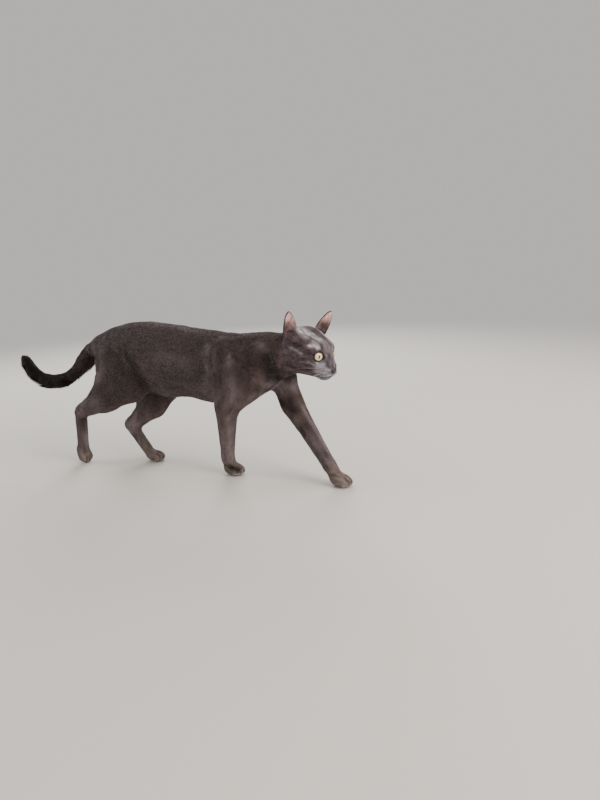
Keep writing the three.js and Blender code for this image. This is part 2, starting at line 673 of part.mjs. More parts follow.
const cat = new THREE.Group();
Object.entries(parts).forEach(([name, solid]) => {
  const mesh = solid.getMesh();
  const geometry = new THREE.BufferGeometry();
  geometry.setAttribute('position', new THREE.BufferAttribute(mesh.vertProperties, 3));
  geometry.setIndex(new THREE.BufferAttribute(mesh.triVerts, 1));
  const piece = new THREE.Mesh(geometry, new THREE.MeshStandardMaterial(finishOf(name)));
  piece.name = name;
  cat.add(piece);
});

// the cat stands with the middle of its footprint at the origin
const extent = new THREE.Box3().setFromObject(cat);
const stance = extent.getCenter(new THREE.Vector3());
cat.position.set(-stance.x, -stance.y, -extent.min.z);

export default cat;
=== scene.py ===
# %% [markdown]
# # A walking blue-grey cat
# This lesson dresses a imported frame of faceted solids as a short-haired cat, the way a museum makes
# a model: first the body under the coat, then eyes, nose, pads and whiskers, and last the coat.
# The frame gives the body and its size. Folds, markings and tufts are laid on it in millimetres, so
# they could be painted or combed by hand instead, but numbers can be read, changed and repeated.
# The frame's x runs ahead, y to the cat's left and z up from the floor.

# %% Load the frame
import json
import math

import bmesh
import bpy
import numpy as np
from mathutils import Matrix, Vector, noise
from mathutils.bvhtree import BVHTree

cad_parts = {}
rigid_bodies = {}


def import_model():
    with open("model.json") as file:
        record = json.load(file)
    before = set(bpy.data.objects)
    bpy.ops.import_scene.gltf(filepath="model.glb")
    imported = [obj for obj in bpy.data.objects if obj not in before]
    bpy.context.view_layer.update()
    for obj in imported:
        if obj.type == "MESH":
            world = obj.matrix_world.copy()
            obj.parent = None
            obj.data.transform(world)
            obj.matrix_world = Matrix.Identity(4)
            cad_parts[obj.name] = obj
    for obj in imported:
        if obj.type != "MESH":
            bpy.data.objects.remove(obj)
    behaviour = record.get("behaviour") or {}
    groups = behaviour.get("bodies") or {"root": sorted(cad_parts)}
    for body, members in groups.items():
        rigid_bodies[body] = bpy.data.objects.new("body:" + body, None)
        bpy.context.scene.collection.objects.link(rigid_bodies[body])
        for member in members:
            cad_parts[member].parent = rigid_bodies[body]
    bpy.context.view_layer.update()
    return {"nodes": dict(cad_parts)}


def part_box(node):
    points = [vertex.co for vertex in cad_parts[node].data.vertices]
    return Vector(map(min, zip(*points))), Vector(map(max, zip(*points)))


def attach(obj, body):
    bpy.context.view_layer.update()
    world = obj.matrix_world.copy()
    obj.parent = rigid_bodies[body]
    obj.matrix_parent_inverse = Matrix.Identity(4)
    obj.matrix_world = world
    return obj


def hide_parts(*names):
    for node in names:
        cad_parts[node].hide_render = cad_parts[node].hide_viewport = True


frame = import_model()
MM = 0.001
SIDES = {"right": -1, "left": 1}


# %% [markdown]
# Every finish below is built from the same few helpers. Materials could be built by hand in the
# shader editor, but a script can name each step. Colours are given as the hex values that a painter
# would read off a swatch, and one function turns them into the linear light that Blender mixes.
# Another function adds a node with its settings and its links.


# %% Helpers for materials
def linear(code, alpha=1.0):
    channels = [int(code[i : i + 2], 16) / 255 for i in (1, 3, 5)]
    light = [c / 12.92 if c <= 0.04045 else ((c + 0.055) / 1.055) ** 2.4 for c in channels]
    return (*light, alpha)


def add_node(tree, kind, inputs=(), **settings):
    """Adds a node. inputs maps a socket's name or number to a value or to another node's output."""
    node = tree.nodes.new(kind)
    for name, value in settings.items():
        setattr(node, name, value)
    for key, value in dict(inputs).items():
        if isinstance(value, bpy.types.NodeSocket):
            tree.links.new(value, node.inputs[key])
        else:
            node.inputs[key].default_value = value
    return node


def new_material(name, **shader_values):
    material = bpy.data.materials.new(name)
    material.use_nodes = True
    shader = material.node_tree.nodes["Principled BSDF"]
    for key, value in shader_values.items():
        shader.inputs[key.replace("_", " ")].default_value = value
    return material, material.node_tree, shader


print("mid grey in linear light:", round(linear("#808080")[0], 3))


# %% [markdown]
# A piece starts as a bmesh, Blender's editable mesh, and becomes an object with one material. Each
# finished piece is then attached to the body it rides on, and the solids of the frame that it
# stands for are hidden. This cat is a still model, so there is only one body.


# %% Helpers for pieces
def finish_piece(piece, replaced=(), smooth=True):
    """Every piece of the cat rides with its one body, and the solids it replaces are hidden."""
    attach(piece, "root")
    if replaced:
        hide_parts(*replaced)
    piece.data.shade_smooth() if smooth else piece.data.shade_flat()
    print(f"{piece.name}: {len(piece.data.polygons)} faces")
    return piece


def linked(name, data):
    piece = bpy.data.objects.new(name, data)
    bpy.context.scene.collection.objects.link(piece)
    return piece


def object_from(bm, name, material):
    mesh = bpy.data.meshes.new(name)
    bm.to_mesh(mesh)
    bm.free()
    mesh.materials.append(material)
    return linked(name, mesh)


print("solids in the frame:", len(frame["nodes"]))


# %% [markdown]
# The camera comes first, because everything after it is judged through it. It stands at knee height
# beside the path of the cat, a metre from its right forepaw, so it is placed from that paw. It
# could be aimed by a constraint, but three directions set in a matrix also keep its slight roll.


# %% Camera
def middle(node):
    low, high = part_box(node)
    return (low + high) / 2


def unit(vector):
    return Vector(vector).normalized()


HEADING, DOWN_TILT, ROLL = (math.radians(angle) for angle in (24, 13.3, 3))
CAMERA_FROM_PAW = Vector((0.508, -0.835, 0.360))  # metres, from the floor under the paw

paw = middle("fore_paw_right")
across = Vector((math.cos(HEADING), math.sin(HEADING), 0))
into = Vector((-math.sin(HEADING), math.cos(HEADING), 0))
forward = math.cos(DOWN_TILT) * into - math.sin(DOWN_TILT) * Vector((0, 0, 1))
below = -math.sin(DOWN_TILT) * into - math.cos(DOWN_TILT) * Vector((0, 0, 1))
right = math.cos(ROLL) * across + math.sin(ROLL) * below
up = math.sin(ROLL) * across - math.cos(ROLL) * below

camera = linked("camera", bpy.data.cameras.new("camera"))
turn = Matrix((right, up, -forward)).transposed().to_4x4()
camera.matrix_world = Matrix.Translation(Vector((paw.x, paw.y, 0)) + CAMERA_FROM_PAW) @ turn
camera.data.sensor_width = 36
camera.data.lens = 25.65
camera.data.clip_start, camera.data.clip_end = 0.02, 50
bpy.context.scene.camera = camera
print("camera at", [round(value, 3) for value in camera.matrix_world.translation])


# %% [markdown]
# A museum lights a dark animal softly and from several sides, so that the coat shows its form and
# doesn't sink into black. Small spot lamps would draw hard shadows through the fur, so all four
# lamps are broad discs. One stands like a window ahead of the cat, one behind its left side draws a
# pale rim along the legs, one is low behind the tail, and a weak one hangs overhead.


# %% Lamps
def area_light(name, place, target, size, watts, colour):
    data = bpy.data.lights.new(name, "AREA")
    data.shape, data.size, data.energy = "DISK", size, watts
    data.color = linear(colour)[:3]
    lamp = linked(name, data)
    lamp.location = place
    lamp.rotation_euler = (Vector(target) - Vector(place)).to_track_quat("-Z", "Y").to_euler()
    print(f"{name}: {watts} W, {size} m across")


body_middle = middle("trunk")
area_light("window_panel", (2.2, -0.5, 1.2), body_middle, 1.5, 62, "#FFF8EE")
area_light("rim_panel", (-1.2, 2.4, 1.5), body_middle, 1.6, 70, "#FFFDF8")
area_light("low_panel", (-2.3, -0.4, 0.7), body_middle, 1.2, 26, "#FFFFFF")
area_light("overhead_panel", (0.3, 0.6, 2.2), body_middle, 1.8, 20, "#F6F6FF")


# %% [markdown]
# A pale studio gives back light from every side, which an even background colour does well enough.
# The floor is a matt painted board. A plain disc would end in a hard horizon, so the board thins
# out to nothing between one and nearly three metres from the cat.


# %% Studio and floor
BOARD_RADIUS, FADE_START, FADE_END = 3.0, 1.0, 2.8

world = bpy.data.worlds.new("studio")
bpy.context.scene.world = world
world.use_nodes = True
world.node_tree.nodes["Background"].inputs["Color"].default_value = linear("#EEEAE6")
world.node_tree.nodes["Background"].inputs["Strength"].default_value = 0.7

# matt painted board, rolled on in thin coats: no gloss, so the cat's shadow stays soft and plain
floor_material, tree, shader = new_material(
    "matt painted board", Base_Color=linear("#CBC7C2"), Roughness=0.9, Specular_IOR_Level=0.1
)
place_on_floor = add_node(tree, "ShaderNodeTexCoord")
object_place = place_on_floor.outputs["Object"]
from_cat = add_node(tree, "ShaderNodeVectorMath", {0: object_place}, operation="LENGTH")
fade_inputs = {0: from_cat.outputs["Value"], 1: FADE_START, 2: FADE_END}
fade = add_node(tree, "ShaderNodeMapRange", fade_inputs, interpolation_type="SMOOTHSTEP")
clear = add_node(tree, "ShaderNodeBsdfTransparent")
board_inputs = {0: fade.outputs[0], 1: shader.outputs[0], 2: clear.outputs[0]}
board = add_node(tree, "ShaderNodeMixShader", board_inputs)
tree.links.new(board.outputs[0], tree.nodes["Material Output"].inputs["Surface"])
bm = bmesh.new()
bmesh.ops.create_circle(bm, cap_ends=True, radius=BOARD_RADIUS, segments=96)
floor = object_from(bm, "floor", floor_material)
print("floor board:", 2 * BOARD_RADIUS, "m across")


# %% [markdown]
# Under the coat a cat is one unbroken skin. The frame's solids are that body out to the tips of its
# coat, parted by thin cuts. A frame's mesh is loose triangles, so each solid is copied and its
# doubled points are merged before it is used. A copy can also be swollen a little, and copies that
# overlap can be joined. A boolean union could join them as well, but it leaves every crease.


# %% Copies of the solids
FLESH = [name for name in frame["nodes"] if not name.startswith(("eye", "nose"))]
WRAPPED = [*FLESH, "eye_right", "eye_left", "nose"]
MERGE_MM = 0.001


def join_to(bm, one):
    mesh = bpy.data.meshes.new("one")
    one.to_mesh(mesh)
    one.free()
    bm.from_mesh(mesh)
    bpy.data.meshes.remove(mesh)


def merged_copy(names, name, swell=0.0):
    """One mesh of the named solids, each merged and swollen, and the first face of each."""
    bm, starts = bmesh.new(), []
    for source in names:
        one = bmesh.new()
        one.from_mesh(frame["nodes"][source].data)
        bmesh.ops.remove_doubles(one, verts=one.verts, dist=MERGE_MM * MM)
        bmesh.ops.triangulate(one, faces=one.faces)
        one.normal_update()
        moves = [(vert, vert.normal * swell) for vert in one.verts]
        for vert, move in moves:
            vert.co += move
        starts.append(len(bm.faces))
        join_to(bm, one)
    mesh = bpy.data.meshes.new(name)
    bm.to_mesh(mesh)
    bm.free()
    return linked(name, mesh), starts


print("solids to wrap:", len(WRAPPED))


# %% [markdown]
# A voxel remesh lays a fresh surface of small squares round everything at once, as shrink-wrap would.
# It closes the cuts and the eye sockets, where the eyes take their place later. It also wipes out
# detail, so all the sculpting comes after it. Squares of 1.5 mm are fine enough for a paw.


# %% The wrap
VOXEL = 1.5 * MM
OVERLAP = 0.45 * MM


def apply_modifiers(piece):
    depsgraph = bpy.context.evaluated_depsgraph_get()
    mesh = bpy.data.meshes.new_from_object(piece.evaluated_get(depsgraph))
    old = piece.data
    piece.modifiers.clear()
    piece.data = mesh
    bpy.data.meshes.remove(old)


skin, _ = merged_copy(WRAPPED, "skin", OVERLAP)
wrap = skin.modifiers.new("wrap", "REMESH")
wrap.mode, wrap.voxel_size, wrap.adaptivity = "VOXEL", VOXEL, 0
apply_modifiers(skin)
print("skin after the wrap:", len(skin.data.vertices), "points")


# %% [markdown]
# Sculpting by code moves many thousands of points, so the mesh is read into arrays once and worked
# on there. The most useful tool is a blur that runs along the edges of the mesh: it evens out places
# as the smooth brush does, and it does the same for colours, lengths and any other value.


# %% A mesh as arrays
class Surface:
    """A mesh as arrays: its points, normals and edges, with a blur that follows its surface."""

    def __init__(self, mesh):
        count = len(mesh.vertices)
        self.points = np.empty(count * 3)
        mesh.vertices.foreach_get("co", self.points)
        self.points = self.points.reshape(-1, 3)
        self.normals = np.empty(count * 3)
        mesh.vertices.foreach_get("normal", self.normals)
        self.normals = self.normals.reshape(-1, 3)
        edges = np.empty(len(mesh.edges) * 2, dtype=np.int64)
        mesh.edges.foreach_get("vertices", edges)
        self.start, self.end = edges.reshape(-1, 2).T
        self.degree = np.bincount(self.start, minlength=count) + np.bincount(self.end, minlength=count)

    def neighbour_mean(self, values):
        count = len(values)
        flat = values.reshape(count, -1)
        sums = [
            np.bincount(self.start, flat[self.end, k], count)
            + np.bincount(self.end, flat[self.start, k], count)
            for k in range(flat.shape[1])
        ]
        return (np.stack(sums, 1) / self.degree[:, None]).reshape(values.shape)

    def blur(self, values, rounds, factor=0.5):
        for _ in range(rounds):
            values = values + factor * (self.neighbour_mean(values) - values)
        return values


def tree_of(piece):
    return BVHTree.FromPolygons(
        [vert.co for vert in piece.data.vertices], [face.vertices[:] for face in piece.data.polygons]
    )


def set_points(piece, points):
    piece.data.vertices.foreach_set("co", points.ravel())
    piece.data.update()


print("edges of the wrap:", len(skin.data.edges))


# %% [markdown]
# Every point of the skin now learns which solid it is nearest to, and how high it lies above it. A
# search tree of the solids' faces answers both. Painted vertex groups could hold the same, but they
# would have to be painted again whenever the body changes.


# %% Which solid each point belongs to
def numbers_of(*starts):
    """The numbers of the solids whose names start so."""
    return [number for number, name in enumerate(WRAPPED) if name.startswith(starts)]


shell, shell_starts = merged_copy(WRAPPED, "shell")
shell_tree = tree_of(shell)
bpy.data.objects.remove(shell)


def nearest_solid(points):
    """For each point: the number of the solid it is nearest to, and its height above that solid."""
    solids, heights = np.empty(len(points), dtype=int), np.empty(len(points))
    for i, point in enumerate(points):
        place, normal, face, distance = shell_tree.find_nearest(point)
        solids[i] = np.searchsorted(shell_starts, face, side="right") - 1
        heights[i] = math.copysign(distance, (Vector(point) - place).dot(normal))
    return solids, heights


surface = Surface(skin.data)
solids, _ = nearest_solid(surface.points)
print("points on the trunk:", int(np.sum(solids == WRAPPED.index("trunk"))))


# %% [markdown]
# A table gives each kind of solid its own values: how much of the faceting to smooth away, and how
# deep the skin lies under the tips of the coat. Thick muscle under loose skin is soft and deep, an
# ear is thin and crisp. The values are blurred over the surface, so nothing steps at the old cuts.


# %% How soft and how deep each part is
# smoothing share, skin depth in mm
BODY_PLACES = {
    "trunk": (0.5, 3.2),
    "neck": (0.45, 3.2),
    "head": (0.045, 1.7),
    "tail_base": (0.45, 4.2),
    "tail": (0.16, 4.6),
    "fore_leg": (0.2, 1.5),
    "hind_leg": (0.32, 2.1),
    "fore_paw": (0.03, 1.1),
    "hind_paw": (0.05, 1.2),
    "ear": (0.05, 0.35),
    "eye": (0.03, -0.4),
    "nose": (0.03, 1.9),
}


def place_values(solids, column, table):
    keys = [next(key for key in table if name.startswith(key)) for name in WRAPPED]
    return np.array([table[key][column] for key in keys])[solids]


def ear_distance(points):
    """How far each point is from the nearer ear, in millimetres."""
    ears, _ = merged_copy(["ear_right", "ear_left"], "ears")
    tree = tree_of(ears)
    bpy.data.objects.remove(ears)
    return np.array([tree.find_nearest(point)[3] for point in points]) / MM


def smoothstep(low, high, value):
    """Runs softly from 0 at low to 1 at high, which may also lie below low."""
    t = np.clip((value - low) / (high - low), 0, 1)
    return t * t * (3 - 2 * t)


share = surface.blur(place_values(solids, 0, BODY_PLACES), 12)[:, None]
print("smoothing share from", round(float(share.min()), 2), "to", round(float(share.max()), 2))


# %% [markdown]
# Each round of smoothing moves every point a share of the way to the mean of its neighbours. Many
# gentle rounds melt the facets and the cuts into muscle, and the small shares keep ears and paws.


# %% Smoothing the wrap
SMOOTHING_ROUNDS = 120
points = surface.points
for _ in range(SMOOTHING_ROUNDS):
    points = points + share * (surface.neighbour_mean(points) - points)
set_points(skin, points)
moved = np.linalg.norm(points - surface.points, axis=1) / MM
print("smoothing moved points by up to", round(float(moved.max()), 1), "mm")


# %% [markdown]
# Smoothing moved the surface in and out, so each point is now set to its wanted depth below the
# solids. Where the body is soft, only a blurred height is corrected, or the facets would come back.
# Near the ears the depth thins out, because an ear is hardly thicker than its fur.


# %% Sinking the skin under the coat
EAR_DEPTH, EAR_REACH = 0.35, 16
surface = Surface(skin.data)
solids, heights = nearest_solid(surface.points)
depth = place_values(solids, 1, BODY_PLACES)
from_ear = ear_distance(surface.points)
thinner = np.minimum(depth, EAR_DEPTH + 1.35 * smoothstep(4, EAR_REACH, from_ear))
depth = np.where(from_ear < EAR_REACH, thinner, depth)
depth = surface.blur(depth * MM, 8)
sink = surface.blur(heights, 24) + depth
sink = np.where(share[:, 0] < 0.1, surface.blur(heights, 3) + depth, sink)
set_points(skin, surface.points - surface.normals * surface.blur(sink, 4)[:, None])
print("skin depth in mm from", round(float(depth.min() / MM), 1), "to", round(float(depth.max() / MM), 1))


# %% [markdown]
# The wrap spends as many faces on the flank as on the face. The Decimate modifier takes away those
# that carry least shape, and a vertex group keeps it off the head. That leaves room for the coat,
# and for finer faces where the lids and toes are sculpted.


# %% Fewer faces where the body is plain
FACES_WANTED = 150_000
surface = Surface(skin.data)
solids, _ = nearest_solid(surface.points)
plain = skin.vertex_groups.new(name="plain")
off_head = ~np.isin(solids, numbers_of("head", "ear", "eye", "nose"))
plain.add(np.flatnonzero(off_head).tolist(), 1.0, "REPLACE")
thin = skin.modifiers.new("thin", "DECIMATE")
thin.ratio = FACES_WANTED / (2 * len(skin.data.polygons))
thin.vertex_group = "plain"
apply_modifiers(skin)
skin.vertex_groups.clear()
print("skin after thinning:", len(skin.data.polygons), "faces")


# %% [markdown]
# The face is drawn in the head's own axes, ahead, left and up, in millimetres from the point midway
# between the eyes. The two eyes and the nose fix those axes, so the face follows the frame's head
# however it is turned.


# %% The head's axes
NOSE_DROP = math.radians(29.9)  # the nose lies this far below straight ahead of the eyes
EYE_OUTWARD = math.radians(22)

between_eyes = (middle("eye_right") + middle("eye_left")) / 2
head_left = unit(middle("eye_left") - middle("eye_right"))
to_nose = middle("nose") - between_eyes
to_nose = unit(to_nose - head_left * to_nose.dot(head_left))
lift = to_nose.cross(head_left)
head_ahead = math.cos(NOSE_DROP) * to_nose + math.sin(NOSE_DROP) * lift
head_up = math.cos(NOSE_DROP) * lift - math.sin(NOSE_DROP) * to_nose
HEAD_AXES = np.array([head_ahead, head_left, head_up])


def to_head(points):
    return (np.asarray(points) - np.array(between_eyes)) @ HEAD_AXES.T / MM


def from_head(places):
    return np.asarray(places, dtype=float) @ HEAD_AXES * MM + np.array(between_eyes)


eye_low, eye_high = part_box("eye_right")
EYE_RADIUS = (eye_high.z - eye_low.z) / 2 / MM
EYE_PLACES = {name: to_head(middle(f"eye_{name}")) for name in SIDES}
NOSE_PLACE = to_head(middle("nose"))
print("eyes and nose in the head's axes:", EYE_PLACES["right"].round(1), NOSE_PLACE.round(1))


# %% [markdown]
# A cat stands on four toes to each foot, and only shallow grooves part them under the fur. Each paw
# has axes of its own, ahead, outwards and up from the ball of the foot, pitched as the foot is. The
# right hind paw has just left the ground behind the cat, so it is pitched steeply on its toes.


# %% The paws' axes
PAWS = {  # ball of the foot in mm, and its pitch in degrees
    "fore_right": ((132.2, 0.0, 10), 0),
    "fore_left": ((334.2, 1.0, 10), 0),
    "hind_right": ((-196.8, -22.0, 19), 76),
    "hind_left": ((-60.8, 25.0, 10), 0),
}
TOE_GAPS = (-6.5, 0.0, 6.5)


def to_paw(points, name):
    """Places ahead, outwards and up from a paw's ball, in millimetres."""
    centre, pitch = PAWS[name]
    c, s = math.cos(math.radians(pitch)), math.sin(math.radians(pitch))
    side = SIDES[name.split("_")[1]]
    x, y, z = (points / MM - np.array(centre)).T
    return np.column_stack([x * c - z * s, side * y, x * s + z * c])


def on_toes(q):
    return (q[:, 0] > -1) & (q[:, 0] < 24) & (np.abs(q[:, 1]) < 19) & (np.abs(q[:, 2]) < 16)


def toe_grooves(q):
    """How deep the skin is pressed between the toes, in millimetres."""
    fan = 0.7 + 0.3 * q[:, 0] / 13
    nearest_gap = np.min([np.abs(q[:, 1] - gap * fan) for gap in TOE_GAPS], axis=0)
    groove = 2.3 * np.exp(-((nearest_gap / 1.25) ** 2)) - 0.45
    return groove * smoothstep(0, 8, q[:, 0]) * on_toes(q)


print("paws:", ", ".join(PAWS))


# %% [markdown]
# An eyelid's edge is half a millimetre across, finer than the faces of the wrap. Only the faces
# round the eyes, the muzzle and the toes are cut in four, because cutting them all would cost ten
# times as many.


# %% Finer faces round the eyes, the mouth and the toes
def refine(piece, wanted):
    """Cuts each face whose middle is wanted in four."""
    bm = bmesh.new()
    bm.from_mesh(piece.data)
    centres = np.array([face.calc_center_median() for face in bm.faces])
    chosen = np.flatnonzero(wanted(to_head(centres)))
    bm.faces.ensure_lookup_table()
    edges = {edge for i in chosen for edge in bm.faces[i].edges}
    bmesh.ops.subdivide_edges(bm, edges=list(edges), cuts=1, use_grid_fill=True, smooth=0.4)
    bmesh.ops.triangulate(bm, faces=[face for face in bm.faces if len(face.verts) > 3])
    bm.to_mesh(piece.data)
    bm.free()


def near_eye(reach):
    def wanted(q):
        return np.min([np.linalg.norm(q - place, axis=1) for place in EYE_PLACES.values()], 0) < reach

    return wanted


MUZZLE, MUZZLE_HALF = np.array([22, 0, -22]), np.array([19, 19, 15])
refine(skin, near_eye(15))
refine(skin, near_eye(13))
refine(skin, lambda q: (np.linalg.norm((q - MUZZLE) / MUZZLE_HALF, axis=1) < 1) & (q[:, 0] > 4))
for paw_name in PAWS:
    refine(skin, lambda q: on_toes(to_paw(from_head(q), paw_name)))
print("skin after refining:", len(skin.data.polygons), "faces")


# %% [markdown]
# A cat's eye opens as an almond with its inner corner low towards the nose. One function says how
# far any place is outside that almond, measured along the ball. The lids, the dark line round them
# and the bare skin beside them all ask it, so they can't drift apart.


# %% The almond of the eye
LID = {"half_width": 8.2, "half_height": 5.8, "slant": math.radians(10), "thickness": 1.0}


def eye_axes(side):
    gaze = np.array([math.cos(EYE_OUTWARD), SIDES[side] * math.sin(EYE_OUTWARD), 0.1])
    gaze /= np.linalg.norm(gaze)
    inward = np.cross(gaze, [0, 0, SIDES[side]])
    inward /= np.linalg.norm(inward)
    upward = np.cross(inward, gaze) * SIDES[side]
    slanted = [
        math.cos(LID["slant"]) * inward - math.sin(LID["slant"]) * upward,
        math.sin(LID["slant"]) * inward + math.cos(LID["slant"]) * upward,
    ]
    return gaze, *slanted


def lid_distance(places, side):
    """How far each place is outside the almond, then its distance and height from the ball."""
    gaze, inward, upward = eye_axes(side)
    offset = places - EYE_PLACES[side]
    far = np.linalg.norm(offset, axis=1)
    aim = offset / np.maximum(far, 1e-6)[:, None]
    a, b = aim @ inward * EYE_RADIUS, aim @ upward * EYE_RADIUS
    width, height = LID["half_width"], LID["half_height"]
    opening = height * np.maximum(1 - (np.abs(a) / width) ** 2.2, 0) ** 0.8
    beyond_corner = np.hypot(np.abs(a) - width, b)
    outside = np.where(np.abs(a) < width, (np.abs(b) - opening) * 0.85, beyond_corner)
    outside = np.where(aim @ gaze > 0.15, outside, 30.0) + np.maximum(far - EYE_RADIUS - 2.5, 0)
    return outside, far, b


print("almond:", 2 * LID["half_width"], "by", 2 * LID["half_height"], "mm")


# %% [markdown]
# A lid is skin stretched over the ball of the eye. The wrap left the eyes covered, as if they were
# shut. A boolean cut would leave a sharp hole, so instead the skin inside the almond is pushed back
# behind the ball, and the skin just outside it is rounded into a rim with a crease above.


# %% Eyelids
def open_eye(points, side):
    places = to_head(points)
    outside, far, above = lid_distance(places, side)
    near = far < 18
    rim = EYE_RADIUS - 0.35 + (LID["thickness"] + 0.35) * smoothstep(0, 0.9, outside)
    lid = rim - 0.35 * np.exp(-((outside - 2.6) / 0.8) ** 2) * (above > 0)
    natural = smoothstep(1.6, 5.5, outside)
    wanted = np.where(outside > 0, np.maximum(lid * (1 - natural) + far * natural, lid), 0)
    hidden = EYE_RADIUS - 0.35 - 2.6 * smoothstep(0, 1.0, -outside)
    wanted = np.where(outside > 0, wanted, hidden)
    scale = np.where(near & (outside < 12), wanted / np.maximum(far, 1e-6), 1.0)
    return from_head(EYE_PLACES[side] + (places - EYE_PLACES[side]) * scale[:, None])


surface = Surface(skin.data)
points = surface.points
for side in SIDES:
    points = open_eye(points, side)
lid = np.min([np.abs(lid_distance(to_head(points), side)[0] - 4.5) for side in SIDES], 0)
calm = (0.5 * smoothstep(3.9, 3.0, lid))[:, None]
for _ in range(10):
    points = points + calm * (surface.neighbour_mean(points) - points)
set_points(skin, points)
print("lids lie over balls of", round(2 * EYE_RADIUS, 1), "mm")


# %% [markdown]
# A cat's mouth is a fine dark line: down from the nose between the whisker pads, then back under
# each of them. Lips could be modelled as a real opening, but a closed mouth shows only its crease,
# so it is pressed into the skin as a groove along a line of points laid on the surface.


# %% Mouth
MOUTH = np.array(
    [[30, 0, -21.5], [27.5, 0, -26], [22, 5, -28], [13, 10, -28.5], [4, 13.5, -27], [-2, 15.5, -25]]
)


def distance_to_line(points, line):
    best = np.full(len(points), 1e9)
    for a, b in zip(line[:-1], line[1:]):
        run = b - a
        t = np.clip((points - a) @ run / max(run @ run, 1e-12), 0, 1)
        best = np.minimum(best, np.linalg.norm(points - a - t[:, None] * run, axis=1))
    return best


def laid_on(piece, line, steps=8):
    """The line, cut finer and moved onto the piece's surface, in the head's axes."""
    tree = tree_of(piece)
    fine = [a + (b - a) * t for a, b in zip(line[:-1], line[1:]) for t in np.linspace(0, 1, steps)]
    return to_head([tree.find_nearest(point)[0] for point in from_head(fine)])


mouth_lines = [laid_on(skin, MOUTH * [1, side, 1]) for side in (-1, 1)]
surface = Surface(skin.data)
places = to_head(surface.points)
mouth_distance = np.minimum(*(distance_to_line(places, line) for line in mouth_lines))
crease = 2.0 * np.exp(-((mouth_distance / 1.1) ** 2))
lip = 0.6 * np.exp(-(((mouth_distance - 3.2) / 1.5) ** 2))
set_points(skin, surface.points - surface.normals * ((crease - lip) * MM)[:, None])
print("mouth pressed in by", round(float((crease - lip).max()), 1), "mm")


# %% [markdown]
# The nose leather is a piece of its own that sits in the muzzle, with the fur coming up to its edge.
# If the skin ran through behind it unchanged, it would poke out of the leather. So the skin there is
# drawn back by a few millimetres inside an egg-shaped place round the nose.


# %% Room for the nose
NOSE_ROOM, NOSE_SETBACK = (5.0, 5.6, 4.6), 4.5
surface = Surface(skin.data)
places = to_head(surface.points)
behind_nose = smoothstep(1.15, 0.9, np.linalg.norm((places - NOSE_PLACE) / NOSE_ROOM, axis=1))
set_points(skin, from_head(places - behind_nose[:, None] * np.array([NOSE_SETBACK, 0, 0])))
print("points drawn back behind the nose:", int(np.sum(behind_nose > 0)))


# %% [markdown]
# Three grooves part the four toes of each foot, deepest at the tips and gone at the ball. The solids
# have one plain form for each foot, so the grooves are pressed into the skin here, and the ridges
# between them rise a little, as the toes' own pads make them do.


# %% Toes
surface = Surface(skin.data)
toe_press = np.zeros(len(surface.points))
for name in PAWS:
    q = to_paw(surface.points, name)
    toe_press += toe_grooves(q) * smoothstep(0.2, 2.0, surface.points[:, 2] / MM)
set_points(skin, surface.points - surface.normals * (toe_press * MM)[:, None])
print("toes parted by up to", round(float(toe_press.max()), 1), "mm")


# %% [markdown]
# Loose skin folds where a limb meets the body: ahead of the thigh, behind the elbow and shoulder
# blade, and where the neck turns into the shoulder. A sculptor would draw them with a crease brush.
# Here each fold is one line, laid on both flanks. A depth below nothing fills out instead: it lets
# the rump run smoothly into the root of the tail, where muscle and fur bridge the corner.


# %% Folds of the flanks
# depth in mm, width in mm, points in mm on the right side
FOLDS = (
    (3.0, 6.5, [(-30, -40, 203), (-24, -39, 186), (-18, -38, 173), (-14, -31, 158), (-12, -22, 146)]),
    (1.0, 6.0, [(125, -20, 248), (130, -38, 231), (131, -40, 198), (131, -37, 164)]),
    (1.8, 4.5, [(131, -37, 154), (140, -42, 145), (150, -46, 137)]),
    (2.0, 6.0, [(219, -26, 238), (226, -31, 214), (212, -33, 188), (203, -42, 168)]),
    (1.8, 9.0, [(238, -30, 208), (240, -26, 196), (240, -12, 183)]),
    (1.2, 7.0, [(-80, -40, 235), (-60, -44, 215), (-50, -44, 195)]),
    (-4.4, 9.0, [(-166, -7, 228), (-170, 0, 228)]),
    (-3.0, 10.0, [(-178, 0, 220), (-196, 0, 203)]),
    (-1.0, 9.0, [(-204, 0, 196), (-224, 0, 184)]),
)
surface = Surface(skin.data)
skin_tree = tree_of(skin)
fold_press = np.zeros(len(surface.points))
for depth_mm, width_mm, line in FOLDS:
    for side in SIDES.values():
        laid = [skin_tree.find_nearest(Vector((x, -side * y, z)) * MM)[0] for x, y, z in line]
        distance = distance_to_line(surface.points, np.array(laid)) / MM
        fold_press += depth_mm * np.exp(-((distance / width_mm) ** 2))
set_points(skin, surface.points - surface.normals * (fold_press * MM)[:, None])
print("folds pressed in by up to", round(float(fold_press.max()), 1), "mm")


# %% [markdown]
# A coat is never quite even: it lies in soft waves a finger wide, most of all on the flanks. A bump
# texture could fake them, but the tufts have to follow them too. So gentle noise of two sizes lifts
# and sinks the skin itself by a millimetre or two, and less on the legs and the tail.


# %% Waves in the coat
def mottle(points, size_mm, seed):
    """Soft random patches of about this size, about 1 wide either way."""
    scale, shift = 1 / (size_mm * MM), Vector((seed, 2.0 * seed, 0.5))
    values = np.array([noise.noise(Vector(point) * scale + shift) for point in points])
    return values / values.std()


surface = Surface(skin.data)
solids, _ = nearest_solid(surface.points)
WAVES = {"trunk": 1.0, "neck": 1.0, "hind_leg": 0.7, "fore_leg": 0.4, "tail": 0.25}
wave_keys = [next((key for key in WAVES if name.startswith(key)), "") for name in WRAPPED]
loose = np.array([WAVES.get(key, 0) for key in wave_keys])[solids]
loose = surface.blur(loose, 20)
waves = loose * (0.5 * mottle(surface.points, 26, 2) + 0.3 * mottle(surface.points, 11, 7))
set_points(skin, surface.points + surface.normals * (waves * MM)[:, None])
print("waves in the skin up to", round(float(np.abs(waves).max()), 1), "mm")


